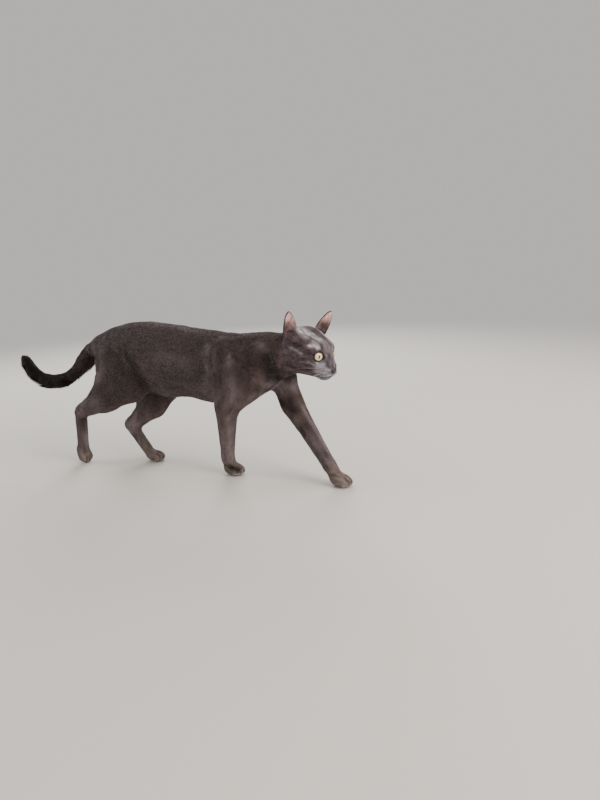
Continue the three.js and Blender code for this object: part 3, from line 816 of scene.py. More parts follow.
# %% [markdown]
# Hair grows away from the nose: back over the crown, back and down over the trunk, down the legs,
# forward over the toes and out along the tail. It could be combed by hand in Blender's hair tools.
# Here one direction for each solid, blurred over the whole skin and laid flat on it, gives every
# tuft its lie, and the turns at the shoulder and the thigh come out of the blur by themselves.


# %% The lie of the coat
LIE = {
    "trunk": (-1, 0, -0.22),
    "neck": (-0.85, 0, -0.5),
    "tail_base": (-0.8, 0, -0.6),
    "tail_middle": (-0.95, 0, -0.25),
    "tail_tip": (-0.75, 0, 0.65),
    "fore_leg_right": (-0.45, 0, -0.9),
    "fore_leg_left": (0.35, 0, -0.95),
    "hind_leg_right": (-0.7, 0, -0.7),
    "hind_leg_left": (-0.6, 0, -0.8),
    "fore_paw": (0.8, 0, -0.45),
    "hind_paw": (0.35, 0, -0.9),
    "ear": (0, 0, 1),
}


def lie_field(surface, solids):
    points = surface.points
    lie = points - np.array(from_head(NOSE_PLACE))
    lie /= np.linalg.norm(lie, axis=1)[:, None]
    for number, name in enumerate(WRAPPED):
        key = next((key for key in LIE if name.startswith(key)), None)
        if key:
            lie[solids == number] = unit(LIE[key])
    x, z = points[:, 0] / MM, points[:, 2] / MM
    front = smoothstep(150, 205, x) * smoothstep(225, 175, z) * (solids == WRAPPED.index("trunk"))
    lie = lie + front[:, None] * (np.array([-0.35, 0, -0.94]) - lie)
    low = smoothstep(26, 14, z)
    lie = lie + low[:, None] * (np.array([0.95, 0, -0.3]) - lie)
    lie = surface.blur(lie, 60)
    lie -= surface.normals * np.sum(lie * surface.normals, axis=1)[:, None]
    return lie / np.maximum(np.linalg.norm(lie, axis=1), 1e-9)[:, None]


surface = Surface(skin.data)
solids, heights = nearest_solid(surface.points)
on_ear = smoothstep(5, 1.5, ear_distance(surface.points))
lie = lie_field(surface, solids)
print("points that know the lie of the coat:", len(lie))


# %% [markdown]
# This cat is a warm, dark blue-grey that greys out down the legs and nearly blackens on the tail.
# The swatches below are the hair itself, except the painted shadow, and the pale hair that also
# paints light. They look darker and redder than the cat does, because the sheen of the fur and the
# pale studio both add grey light on top of them.


# %% Colours of the coat
COLOURS = {
    "body": "#3D3131",
    "back": "#382A2A",
    "thigh": "#332625",
    "neck": "#4A3939",
    "head": "#5A494F",
    "leg": "#5B4C4A",
    "shin": "#6F6265",
    "paw": "#81736D",
    "belly": "#4E4442",
    "chest": "#6C6364",
    "tail": "#1B1313",
    "silver": "#CBC3C8",
    "muzzle": "#BCB6C2",
    "bridge": "#82797D",
    "brow": "#DDD4DA",
    "dark line": "#3A3134",
    "inner ear": "#D0A9A4",
    "ear hair": "#3C3235",
    "ear rim": "#241D1F",
    "lid": "#1E1A1C",
    "mouth": "#2B2426",
    # painted shadow: the shade painted into the coat in its folds and hollows
    "painted shadow": "#170F0F",
    # paler hair that also paints light along the lit edges
    "pale hair and painted light": "#8C7F82",
}
SWATCH = {name: np.array(linear(code)[:3]) for name, code in COLOURS.items()}
BASE_COLOURS = {
    "trunk": "body",
    "neck": "neck",
    "head": "head",
    "ear": "head",
    "eye": "head",
    "nose": "muzzle",
    "tail": "body",
    "fore_leg": "leg",
    "hind_leg": "thigh",
    "fore_paw": "paw",
    "hind_paw": "leg",
}


print("swatches:", len(COLOURS))


# %% [markdown]
# Markings are worked out once, as a colour at each point of the skin, and both the skin and the coat
# use it. So where the coat parts, the skin under it has the same pattern. An image could hold them
# too, but then it would have to be painted and unwrapped. Streaks are random values that are blurred
# only along the lie of the coat, which draws them out into strands.


# %% Ways to lay colour on
def mix_in(colour, share, name):
    return colour + np.clip(share, 0, 1)[:, None] * (SWATCH[name] - colour)


def ear_facing(normals):
    """Above 0 on the inner side of an ear, which faces ahead."""
    return normals @ np.array(head_ahead) + 0.25 * np.abs(normals @ np.array(head_left))


def streaks(surface, lie, rounds, seed):
    """Random values, about 1 wide either way, drawn out along the lie of the coat."""
    run = surface.points[surface.end] - surface.points[surface.start]
    run /= np.maximum(np.linalg.norm(run, axis=1), 1e-9)[:, None]
    along = np.abs(np.sum(run * (lie[surface.start] + lie[surface.end]) / 2, axis=1)) ** 6 + 1e-4
    values = np.random.default_rng(seed).normal(size=len(surface.points))
    total = np.bincount(surface.start, along, len(values)) + np.bincount(surface.end, along, len(values))
    for _ in range(rounds):
        drawn = np.bincount(surface.start, along * values[surface.end], len(values))
        drawn += np.bincount(surface.end, along * values[surface.start], len(values))
        values = 0.5 * values + 0.5 * drawn / total
    return values / values.std()


print("colour of the back in linear light:", SWATCH["back"].round(3))


# %% [markdown]
# The coat is painted darker where shadow falls: in the folds, along the top of the flanks, at the
# neck and on the legs. Paler hair and painted light lie along the lit edges of the legs, the shoulder
# and the rump. Each of these soft marks is a band: a line of points on the body with a width and a
# share. Bands of one flank only belong to a leg, because the four legs stand differently.


# %% Bands of painted shadow, and of pale hair with painted light
# share, width in mm, 2 where both flanks have it, points in mm on the right side
BODY_BANDS = {
    # painted shadow in the folds, along the top of the flanks, at the neck and on the legs
    "painted shadow": (
        (0.7, 8, 2, [(-42, -38, 238), (-36, -41, 219)]),
        (0.9, 8, 2, [(-36, -41, 219), (-27, -39, 197), (-13, -37, 170), (-10, -34, 158)]),
        (0.5, 8, 2, [(-100, -33, 240), (-96, -43, 220), (-100, -43, 200)]),
        (0.3, 8, 2, [(-42, -30, 255), (23, -30, 253), (83, -28, 246), (124, -33, 239)]),
        (0.5, 5, 2, [(150, -37, 240), (148, -43, 202), (146, -40, 163)]),
        (0.95, 10, 2, [(236, -31, 214), (239, -28, 199), (240, -10, 182)]),
        (0.8, 7, 2, [(235, -31, 222), (232, -27, 202), (227, -23, 187)]),
        (0.55, 6, 2, [(198, -24, 240), (201, -31, 224), (198, -36, 205)]),
        (0.35, 5, 2, [(208, -29, 231), (207, -32, 221)]),
        (0.35, 6, 2, [(155, -40, 232), (151, -43, 216), (145, -42, 196), (135, -39, 174)]),
        (0.45, 5, 2, [(175, -33, 231), (179, -39, 214), (186, -42, 190)]),
        (0.75, 8, 1, [(215, 12, 142), (228, 15, 137), (252, 11, 124)]),
        (0.75, 5.5, 1, [(264, 5, 95), (271, 3, 85)]),
        (0.5, 4, 1, [(279, 2, 76), (300, -3, 47), (313, -7, 32)]),
        (0.35, 4, 1, [(145, -48, 136), (139, -40, 104)]),
        (0.95, 6.5, 1, [(130, -13, 18), (144, -9, 14)]),
        (0.45, 9, 1, [(-172, -42, 100), (-174, -39, 91), (-176, -35, 76)]),
        (0.35, 12, 2, [(-65, -42, 206), (-72, -45, 185), (-56, -49, 164)]),
    ),
    # paler hair and painted light along the lit edges of the legs, the shoulder and the rump
    "pale hair and painted light": (
        (0.25, 6, 2, [(-129, -21, 235), (-123, -34, 209), (-119, -37, 188)]),
        (0.3, 5, 2, [(127, -33, 239), (124, -38, 201), (113, -28, 148)]),
        (0.12, 16, 2, [(27, -42, 213), (67, -41, 214), (96, -41, 201)]),
        (0.5, 6, 2, [(219, -24, 243), (226, -29, 234)]),
        (0.3, 9, 2, [(169, -46, 187), (176, -48, 168), (163, -46, 158)]),
        (0.2, 9, 2, [(165, -38, 232), (166, -42, 212)]),
        (0.6, 3.5, 1, [(206, -37, 161), (212, -25, 162), (218, -1, 166), (233, 11, 174)]),
        (0.6, 9, 1, [(218, 11, 160), (234, 16, 165), (246, 23, 165)]),
        (0.7, 4, 1, [(262, 20, 127), (277, 17, 106), (294, 15, 80), (312, 9, 55), (322, 6, 40)]),
        (0.3, 12, 1, [(-170, -42, 121), (-148, -42, 138), (-108, -54, 135)]),
        (0.25, 10, 2, [(-99, -41, 226), (-103, -43, 202), (-113, -42, 177)]),
        (0.6, 8, 1, [(-95, 22, 95), (-105, 22, 72), (-112, 22, 60)]),
        (0.4, 7, 1, [(155, -42, 118), (147, -27, 83), (138, -13, 47)]),
    ),
}


print("bands on the body:", sum(len(bands) for bands in BODY_BANDS.values()))


# %% [markdown]
# The trunk has one ground colour, darker along the back and paler on the belly. The chest is paler
# where it faces ahead: partly its own paler hair, partly painted light from ahead. The legs fade
# from the ground colour to a greyer shin and a tan paw by height, and the tail darkens along its
# length. The fades run over several centimetres, because a plain coat has no hard borders anywhere.


# %% Colours of the body
def body_markings(surface, solids):
    points, normals = surface.points, surface.normals
    keys = [next(key for key in BASE_COLOURS if name.startswith(key)) for name in WRAPPED]
    colour = np.array([SWATCH[BASE_COLOURS[key]] for key in keys])[solids]
    x, z = points[:, 0] / MM, points[:, 2] / MM
    paws = np.isin(solids, numbers_of("hind_paw")).astype(float)
    fore = np.isin(solids, numbers_of("fore_leg")).astype(float)
    hind = np.isin(solids, numbers_of("hind")).astype(float)
    colour = mix_in(colour, 0.7 * fore * smoothstep(150, 190, z), "body")
    colour = mix_in(colour, 0.8 * hind * smoothstep(150, 105, z), "leg")
    colour = mix_in(colour, fore * smoothstep(130, 60, z) + 0.9 * hind * smoothstep(108, 40, z), "shin")
    colour = mix_in(colour, paws * smoothstep(50, 20, z), "paw")
    colour = surface.blur(colour, 40)
    trunk = surface.blur(np.isin(solids, numbers_of("trunk")).astype(float), 20)
    neck = surface.blur(np.isin(solids, numbers_of("neck")).astype(float), 20)
    colour = mix_in(colour, 0.7 * trunk * smoothstep(0.3, 0.95, normals[:, 2]), "back")
    colour = mix_in(colour, 0.8 * trunk * smoothstep(-0.2, -0.9, normals[:, 2]), "belly")
    facing_ahead = smoothstep(-0.1, 0.5, normals[:, 0] - 0.5 * normals[:, 2])
    front = smoothstep(150, 200, x) * smoothstep(205, 170, z) * facing_ahead
    tail = surface.blur(np.isin(solids, numbers_of("tail")).astype(float), 20)
    tail_share = (0.25 + 0.75 * smoothstep(-165, -235, x)) * smoothstep(-150, -170, x)
    colour = mix_in(colour, tail * tail_share, "tail")
    # painted light: the chest is made paler where it faces ahead, over hair that is paler there too
    colour = mix_in(colour, 0.9 * np.maximum(trunk, neck) * front, "chest")
    places = points / MM
    folded = places * [1, 0, 1] - np.abs(places) * [0, 1, 0]
    # the bands paint shadow and light into the colour of the coat
    for name, bands in BODY_BANDS.items():
        for share, width_mm, flanks, line in bands:
            distance = distance_to_line(folded if flanks == 2 else places, np.array(line, dtype=float))
            colour = mix_in(colour, share * np.exp(-((distance / width_mm) ** 2)), name)
    # painted shade: the grooves between the toes are darkened by how deep they are
    toe_groove_shade = np.max([toe_grooves(to_paw(points, name)) for name in PAWS], axis=0)
    colour = mix_in(colour, 0.7 * smoothstep(0.3, 1.5, toe_groove_shade), "dark line")
    # painted light: the lowest millimetres of the paws are mixed towards silver, a pale rim of light
    feet = np.isin(solids, numbers_of("fore_paw", "hind_paw_left")) * smoothstep(9, 3, z)
    return mix_in(colour, 0.45 * feet, "silver")


skin_colour = body_markings(surface, solids)
print("mean colour of the body:", skin_colour.mean(axis=0).round(3))


# %% [markdown]
# The face carries what is left of a tabby pattern: fine dark lines over the crown and back from the
# eyes, pale hair above the eyes and down the nose, and a silver muzzle. It is drawn on one half in
# the head's axes and folded over to the other, as a real face is nearly the same on both sides.


# %% Bands on the face
# places in the head's axes, in mm, on the left side: share, width, points
FACE_BANDS = {
    "silver": (
        (0.95, 7.0, [(-44, 16, 30), (-34, 20, 28), (-24, 18, 27), (-12, 14, 24), (2, 11, 20)]),
        (0.55, 2.0, [(-32, 35, 2), (-22, 34.5, 0), (-13, 32, -1)]),
        (0.65, 3.0, [(14, 9, 2), (15, 11, -7)]),
    ),
    "brow": (
        (0.9, 3.0, [(-7, 23, 13), (-2, 21, 14), (4, 18, 13)]),
        (0.7, 1.6, [(1, 25, -9), (7, 17.5, -9.5), (11, 12, -8.5)]),
    ),
    "bridge": ((0.85, 5.5, [(4, 7, 20), (10, 5, 15), (17, 3, 5), (24, 2, -5), (28, 2, -10)]),),
    "muzzle": (
        (0.95, 8.5, [(12, 13, -16), (20, 10, -19), (25, 5, -22)]),
        (0.7, 6.0, [(8, 6, -31), (14, 3, -31)]),
    ),
    "dark line": (
        (0.85, 1.7, [(-38, 17, 30), (-24, 20, 26), (-12, 18, 22), (8, 13, 15)]),
        (0.7, 1.5, [(-44, 4, 32), (-24, 3, 30), (-4, 2, 26), (10, 2, 16)]),
        (0.65, 1.5, [(-40, 10, 31), (-22, 9, 30), (-4, 7, 25)]),
        (0.7, 4.0, [(-40, 35, 10), (-28, 33, 9), (-16, 29, 9)]),
        (0.5, 2.0, [(-20, 35, -7), (-34, 35, -11), (-46, 34, -12)]),
    ),
}


print("bands on the face:", sum(len(bands) for bands in FACE_BANDS.values()))


# %% [markdown]
# The bands are mixed in one over the other. The inner side of each ear is pink skin with a thin dark
# rim, the lids have black edges that run into a dark inner corner, and the mouth is a dark line. The
# rim is found by blurring which side a point faces: the value is one half just where the side turns.


# %% Colours of the head
def head_markings(surface, colour):
    places = to_head(surface.points)
    both = places * [1, 0, 1] + np.abs(places) * [0, 1, 0]
    near_head = smoothstep(-62, -50, places[:, 0]) * smoothstep(-48, -36, places[:, 2])
    for name, bands in FACE_BANDS.items():
        for share, width_mm, line in bands:
            distance = distance_to_line(both, np.array(line, dtype=float))
            colour = mix_in(colour, near_head * share * np.exp(-((distance / width_mm) ** 2)), name)
    facing = ear_facing(surface.normals)
    inner = on_ear * smoothstep(0.0, 0.35, facing)
    colour = mix_in(colour, inner, "inner ear")
    colour = mix_in(colour, 0.8 * inner * smoothstep(44, 26, places[:, 2]), "ear hair")
    inner_side = surface.blur((facing > 0.05).astype(float), 10)
    colour = mix_in(colour, on_ear * np.exp(-(((inner_side - 0.6) / 0.32) ** 4)), "ear rim")
    for side in SIDES:
        _, inward, upward = eye_axes(side)
        corner = EYE_PLACES[side] + 8.8 * inward - 0.6 * upward + [4.5, 0, 0]
        from_corner = np.linalg.norm(places - corner, axis=1)
        colour = mix_in(colour, 0.9 * np.exp(-((from_corner / 2.6) ** 2)), "lid")
    lids = np.min([np.abs(lid_distance(places, name)[0] - 0.1) for name in SIDES], 0)
    colour = mix_in(colour, smoothstep(1.4, 0.5, lids), "lid")
    mouth = np.minimum(*(distance_to_line(places, line) for line in mouth_lines))
    return mix_in(colour, smoothstep(1.9, 0.8, mouth), "mouth")


skin_colour = head_markings(surface, skin_colour)
print("mean colour with the head:", skin_colour.mean(axis=0).round(3))


# %% [markdown]
# Up close the coat isn't one flat colour: strands are lighter and darker, and clumps and patches lie
# over them. Long streaks, fine streaks, patches a thumb wide and clumps a pencil wide all lighten or
# darken the colour. They are strongest over the shoulder and the neck, where the coat is loose and
# opens as the cat walks. The face has the strongest streaks, and the black tail nearly none.


# %% Grain of the coat
long_streak = surface.blur(streaks(surface, lie, 40, 3), 1)
long_streak /= long_streak.std()
fine_streak = streaks(surface, lie, 5, 4)
on_tail = surface.blur(np.isin(solids, numbers_of("tail")).astype(float), 8)
patches, clumps = mottle(surface.points, 18, 5), mottle(surface.points, 7, 9)
on_trunk = surface.blur(np.isin(solids, numbers_of("trunk", "neck")).astype(float), 20)
on_head = surface.blur(np.isin(solids, numbers_of("head", "eye", "nose")).astype(float), 20)
shade = (0.19 + 0.1 * on_head) * long_streak + (0.1 + 0.24 * on_head) * fine_streak
loose_neck = on_trunk * smoothstep(95, 190, surface.points[:, 0] / MM)
shade += (0.35 + 0.65 * on_trunk) * (0.14 * patches + 0.1 * clumps)
shade += loose_neck * (0.12 * patches + 0.16 * clumps + 0.1 * fine_streak)
shade = np.clip(1 + (1 - 0.75 * on_tail) * shade, 0.5, 1.7)
skin_colour = skin_colour * shade[:, None]
print("shade from", round(float(shade.min()), 2), "to", round(float(shade.max()), 2))


# %% [markdown]
# Between the tufts one sees down to the underfur, a felt of fine hair on the skin. It is given as a
# colour attribute on the skin's points, a tenth darker than the tufts, because less light gets in.


# %% Skin and underfur
UNDERFUR_SHADE = 0.9


def store_colour(piece, colour):
    layer = piece.data.color_attributes.new("markings", "FLOAT_COLOR", "POINT")
    with_alpha = np.column_stack([colour, np.ones(len(colour))])
    layer.data.foreach_set("color", with_alpha.astype(np.float32).ravel())


store_colour(skin, skin_colour * UNDERFUR_SHADE)
# cat skin under a felt of underfur, grown, not made: matt, with a faint bloom at a flat angle
skin_material, tree, shader = new_material(
    "cat skin and underfur", Roughness=0.75, Specular_IOR_Level=0.2, Sheen_Weight=0.3, Sheen_Roughness=0.4
)
marking = add_node(tree, "ShaderNodeAttribute", attribute_name="markings")
tree.links.new(marking.outputs["Color"], shader.inputs["Base Color"])
skin.data.materials.append(skin_material)
finish_piece(skin, FLESH)


# %% [markdown]
# A cat's eye is a wet ball. Its iris is pale gold with fine spokes, darker towards the rim, round a
# slit pupil, and a clear cornea in front gives one sharp glint. The cornea could be a second shell
# of glass, but a clear coat on the shader gives the same glint and never cuts into the lids.


# %% Iris and cornea
EYE_RINGS = (  # share of the way from the pupil's middle, colour
    (0.0, "#B9A46C"),
    (0.25, "#E2D3A2"),
    (0.5, "#F2E6C8"),
    (0.64, "#B39C68"),
    (0.72, "#1E1A16"),
)


PUPIL_HALF = (0.12, 0.36)  # half width and half height, in shares of the ball's radius


def eye_material(name):
    """The attribute "gaze" holds each point's place on a ball of radius 1 that looks along z."""
    material, tree, shader = new_material(
        name, Roughness=0.5, Specular_IOR_Level=0.0, Coat_Weight=1.0, Coat_Roughness=0.02, Coat_IOR=1.376
    )
    gaze = add_node(tree, "ShaderNodeAttribute", attribute_name="gaze")
    split = add_node(tree, "ShaderNodeSeparateXYZ", {0: gaze.outputs["Vector"]})
    flat = add_node(tree, "ShaderNodeCombineXYZ", {0: split.outputs[0], 1: split.outputs[1]})
    reach = add_node(tree, "ShaderNodeVectorMath", {0: flat.outputs[0]}, operation="LENGTH")
    spoke = add_node(tree, "ShaderNodeVectorMath", {0: flat.outputs[0]}, operation="NORMALIZE")
    fibres = add_node(tree, "ShaderNodeTexNoise", {"Vector": spoke.outputs[0], "Scale": 9.0, "Detail": 3.0})
    shift_inputs = {0: fibres.outputs[0], 1: 0.3, 2: 0.7, 3: -0.05, 4: 0.05}
    fibre_shift = add_node(tree, "ShaderNodeMapRange", shift_inputs)
    frayed_inputs = {0: reach.outputs["Value"], 1: fibre_shift.outputs[0]}
    frayed = add_node(tree, "ShaderNodeMath", frayed_inputs, operation="ADD")
    rings = add_node(tree, "ShaderNodeValToRGB", {0: frayed.outputs[0]})
    ramp = rings.color_ramp
    while len(ramp.elements) < len(EYE_RINGS):
        ramp.elements.new(0.5)
    for element, (place, code) in zip(ramp.elements, EYE_RINGS):
        element.position, element.color = place, linear(code)
    slit_scale = (1 / PUPIL_HALF[0], 1 / PUPIL_HALF[1], 1)
    slit_inputs = {0: flat.outputs[0], 1: slit_scale}
    slit = add_node(tree, "ShaderNodeVectorMath", slit_inputs, operation="MULTIPLY")
    slit_reach = add_node(tree, "ShaderNodeVectorMath", {0: slit.outputs[0]}, operation="LENGTH")
    edge_inputs = {0: slit_reach.outputs["Value"], 1: 0.9, 2: 1.1}
    open_share = add_node(tree, "ShaderNodeMapRange", edge_inputs, interpolation_type="SMOOTHSTEP")
    iris_inputs = {0: open_share.outputs[0], 6: linear("#050404"), 7: rings.outputs[0]}
    iris = add_node(tree, "ShaderNodeMix", iris_inputs, data_type="RGBA")
    tree.links.new(iris.outputs[2], shader.inputs["Base Color"])
    return material


# living tissue under the cornea, which has an IOR of 1.376: all of its gloss is the wet front
eye_finish = eye_material("wet eyeball under a clear cornea")
print("rings in the iris:", len(EYE_RINGS))


# %% [markdown]
# Each eyeball is a sphere that looks along its own z while it is built, and remembers its places on
# it as the attribute that the iris reads. It is then turned to the gaze, kept upright and moved into
# its socket, where the lids already wait.


# %% Eyeballs
for side in SIDES:
    gaze, inward, upward = eye_axes(side)
    upright = np.cross(gaze, np.cross([0, 0, 1], gaze))
    upright /= np.linalg.norm(upright)
    across_eye = np.cross(upright, gaze)
    bm = bmesh.new()
    bmesh.ops.create_uvsphere(bm, u_segments=48, v_segments=32, radius=1)
    layer = bm.verts.layers.float_vector.new("gaze")
    for vert in bm.verts:
        vert[layer] = vert.co
    axes = Matrix((across_eye, upright, gaze)).transposed()
    turn = Matrix([Vector(row) for row in HEAD_AXES.T]) @ axes
    bmesh.ops.transform(bm, matrix=turn.to_4x4(), verts=bm.verts)
    bmesh.ops.scale(bm, vec=Vector((1, 1, 1)) * EYE_RADIUS * MM, verts=bm.verts)
    bmesh.ops.translate(bm, vec=middle(f"eye_{side}"), verts=bm.verts)
    eye = object_from(bm, f"eyeball_{side}", eye_finish)
    finish_piece(eye, [f"eye_{side}"])


# %% [markdown]
# The nose leather is bare, damp skin: a rounded triangle, wide at the top, with a comma-shaped
# nostril at each side and a seam that runs down to the lip. Boolean cuts could make the nostrils,
# but they leave hard edges. So it starts as a ball, and its points are drawn in to that shape.


# %% Nose leather
# damp, hairless skin, finely pebbled in growth: dark slate with one broad, soft glint
nose_finish, tree, shader = new_material(
    "damp nose leather", Base_Color=linear("#33282A"), Roughness=0.38, Specular_IOR_Level=0.5
)
NOSE_HALF = (3.3, 5.7, 4.6)
NOSTRIL = np.array([[0, 0.3, -0.2], [0, 0.5, 0.02], [0, 0.75, 0.06], [0, 0.95, -0.08]])


def nose_shape(ball):
    x, y, z = ball.T
    narrow = 0.4 + 0.6 * smoothstep(-1.0, 0.3, z)
    side = np.abs(y) * narrow
    seen = x > 0
    from_nostril = distance_to_line(np.column_stack([0 * x, side, z]), NOSTRIL)
    nostril = np.exp(-((from_nostril / 0.13) ** 2)) * seen
    wing = np.exp(-(((from_nostril - 0.24) / 0.1) ** 2)) * seen
    seam = np.exp(-((y / 0.07) ** 2)) * smoothstep(0.15, -0.3, z) * seen
    ahead = np.where(seen, 0.6 * x, x) * (1 - 0.7 * nostril + 0.08 * wing - 0.22 * seam)
    dip = 0.14 * np.exp(-((y / 0.3) ** 2)) * smoothstep(0.3, 0.9, z)
    return np.column_stack([ahead, y * narrow, z - dip])


bm = bmesh.new()
bmesh.ops.create_icosphere(bm, subdivisions=6, radius=1)
ball = np.array([vert.co for vert in bm.verts])
places = nose_shape(ball) * NOSE_HALF + NOSE_PLACE - [0.7, 0, 0]
for vert, place in zip(bm.verts, from_head(places)):
    vert.co = place
nose = object_from(bm, "nose_leather", nose_finish)
finish_piece(nose, ["nose"])


# %% [markdown]
# Under each foot are five bare pads, one broad and four small ones under the toes, of thick pebbled
# skin. They could be sculpted into the skin, but as pieces of their own they keep a clean edge to
# the fur. Each is a flattened ball, set where a line from below the foot meets the skin.


# %% Pad skin
PEBBLE_MM = 0.8  # real pebbles are 0.3 mm across; they are drawn coarser, so that they show

# thick, bare skin, pebbled by growth and wear: dull dark slate with no glint
pad_finish, tree, shader = new_material("pebbled paw pad skin", Base_Color=linear("#4A3E42"), Roughness=0.6)
pad_place = add_node(tree, "ShaderNodeTexCoord")
pebble_inputs = {0: pad_place.outputs["Object"], "Scale": 1 / (PEBBLE_MM * MM)}
pebbles = add_node(tree, "ShaderNodeTexVoronoi", pebble_inputs)
bump_inputs = {"Height": pebbles.outputs["Distance"], "Strength": 0.5, "Distance": 0.15 * MM}
pebbling = add_node(tree, "ShaderNodeBump", bump_inputs, invert=True)
tree.links.new(pebbling.outputs[0], shader.inputs["Normal"])
print("pebbles of the pads:", PEBBLE_MM, "mm")


# %% [markdown]
# The broad pad carries the ball of the foot and each toe has one pad of its own. A line from below
# the foot finds the place of each on the skin, and the ball is sunk until only its underside shows.


# %% Paw pads
PAD_SHAPES = (  # places ahead and outwards, then half length, half width and half depth, in mm
    (-2.0, 0.0, 5.0, 6.6, 2.6),
    (8.0, -9.0, 3.6, 2.7, 2.0),
    (11.0, -3.2, 3.9, 2.8, 2.0),
    (11.0, 3.2, 3.9, 2.8, 2.0),
    (8.0, 9.0, 3.6, 2.7, 2.0),
)
PAD_SHOWS_MM = 1.0

skin_tree = tree_of(skin)
bm = bmesh.new()
for paw_name, (centre, pitch) in PAWS.items():
    c, s = math.cos(math.radians(pitch)), math.sin(math.radians(pitch))
    outward = Vector((0, SIDES[paw_name.split("_")[1]], 0))
    ahead, upward = Vector((c, 0, -s)), Vector((s, 0, c))
    pad_turn = Matrix((ahead, outward, upward)).transposed().to_4x4()
    for forward_mm, outward_mm, *half_sizes in PAD_SHAPES:
        start = Vector(centre) + ahead * forward_mm + outward * outward_mm - upward * 30
        place = skin_tree.ray_cast(start * MM, upward)[0]
        one = bmesh.new()
        bmesh.ops.create_icosphere(one, subdivisions=3, radius=MM)
        bmesh.ops.scale(one, vec=half_sizes, verts=one.verts)
        bmesh.ops.transform(one, matrix=pad_turn, verts=one.verts)
        pad_middle = place + upward * (half_sizes[2] - PAD_SHOWS_MM) * MM
        bmesh.ops.translate(one, vec=pad_middle, verts=one.verts)
        join_to(bm, one)
bmesh.ops.recalc_face_normals(bm, faces=bm.faces)
pads = object_from(bm, "paw_pads", pad_finish)
finish_piece(pads)


# %% [markdown]
# Whiskers are stiff tapered hairs, in four rows on each side of the muzzle and a few over each eye.
# A curve with a bevel could make one, but it would have to be made a mesh later. So one is a thin
# cone, cut across so that it can bend, and its points are then laid along a drooping curve.


# %% One whisker
# keratin, as nails are, grown as a smooth tapered rod: pale, a little shiny along its length
whisker_finish, _, _ = new_material("whisker keratin", Base_Color=linear("#DDD6D2"), Roughness=0.35)
whisker_rng = np.random.default_rng(5)


def add_whisker(bm, root, aim, length, droop, thick=0.13):
    """Adds one whisker from the root, in the head's axes and millimetres."""
    one = bmesh.new()
    bmesh.ops.create_cone(one, cap_ends=True, segments=5, radius1=thick, radius2=thick * 0.15, depth=length)
    long_edges = [edge for edge in one.edges if edge.calc_length() > length / 2]
    bmesh.ops.subdivide_edges(one, edges=long_edges, cuts=8)
    aim = unit(aim)
    side = unit(aim.cross(Vector((0, 0, 1))))
    top = side.cross(aim)
    for vert in one.verts:
        t = vert.co.z / length + 0.5
        place = Vector(root) + aim * (t * length - 1.0) + side * vert.co.x + top * vert.co.y
        place += Vector((-0.35 * droop, 0, -droop)) * t * t * length
        vert.co = from_head([place])[0]
    join_to(bm, one)


print("a whisker is 0.26 mm thick at its root")


# %% [markdown]
# The roots stand in rows on the swelling of the upper lip, and the hindmost whiskers are longest.
# Each root is moved onto the skin, so the whiskers sit right whatever the sculpting above has done.
# Their lengths and droops vary a little, or the rows would look like a comb.


# %% Whiskers
bm = bmesh.new()
skin_tree = tree_of(skin)


def on_skin(place):
    """The nearest place on the skin, both in the head's axes."""
    return to_head([skin_tree.find_nearest(from_head([place])[0])[0]])[0]


for side in SIDES.values():
    for row in range(4):
        for column in range(3):
            outwards = side * (8.0 + 2.4 * column + 0.4 * row)
            root = on_skin((24.5 - 4.2 * column + 0.5 * row, outwards, -13.5 - 2.9 * row))
            aim = (0.15 - 0.3 * column + 0.1 * whisker_rng.normal(), side, 0.28 - 0.24 * row)
            long_mm = 27 + 9 * column + 3 * whisker_rng.random()
            add_whisker(bm, root, aim, long_mm, 0.14 + 0.08 * whisker_rng.random())
    for number in range(4):
        root = on_skin((-4 + 3.2 * number, side * (22 - 1.3 * number), 13.5))
        aim = (0.15 - 0.1 * number, side * 0.75, 0.9)
        add_whisker(bm, root, aim, 17 + 3 * number, 0.1, thick=0.09)
bmesh.ops.recalc_face_normals(bm, faces=bm.faces)
whiskers = object_from(bm, "whiskers", whisker_finish)
finish_piece(whiskers)


# %% [markdown]
# Every place on the body has its own coat: long and loose on the belly and the tail, short and tight
# on the face and the feet. A real coat has over a hundred hairs to a square millimetre, far too many
# to model. So each tuft is one flat leaf that stands for a lock of them. The table gives the tufts
# of each solid, and the blur joins them.


# %% How long, wide and dense the tufts are
# length mm, width mm, tufts to a square mm, lowest and highest tip in shares of the coat's depth
COAT_PLACES = {
    "trunk": (10.0, 0.85, 1.22, 0.15, 0.9),
    "neck": (9.0, 0.9, 1.3, 0.15, 0.95),
    "head": (5.0, 0.6, 3.4, 0.2, 0.95),
    "tail": (15.0, 1.1, 2.0, 0.15, 1.25),
    "fore_leg": (5.5, 0.75, 1.7, 0.1, 0.85),
    "hind_leg": (7.0, 0.85, 1.3, 0.1, 0.9),
    "fore_paw": (3.0, 0.6, 2.6, 0.2, 0.9),
    "hind_paw": (3.2, 0.6, 2.4, 0.2, 0.9),
    "ear": (2.6, 0.5, 3.6, 0.3, 1.0),
    "eye": (2.8, 0.45, 5.0, 0.2, 0.9),
    "nose": (2.2, 0.45, 5.0, 0.2, 0.9),
}
TUFTS = 232_000
rng = np.random.default_rng(11)

places = to_head(surface.points)
length, width, density, lowest, highest = (
    surface.blur(place_values(solids, column, COAT_PLACES), 14) for column in range(5)
)
room = surface.blur(np.clip(-heights / MM, 0.25, 6), 6)
print("tufts from", round(float(length.min()), 1), "to", round(float(length.max()), 1), "mm long")


# %% [markdown]
# Inside one solid the coat changes too. It is finest round the nose, looser over the shoulder and
# the rump, and longest behind the thighs, in what are called the breeches, and along the underside
# of the tail, where it hangs in locks. The room is the height from the skin to the outside of the
# coat, which says how far a tip may stand.


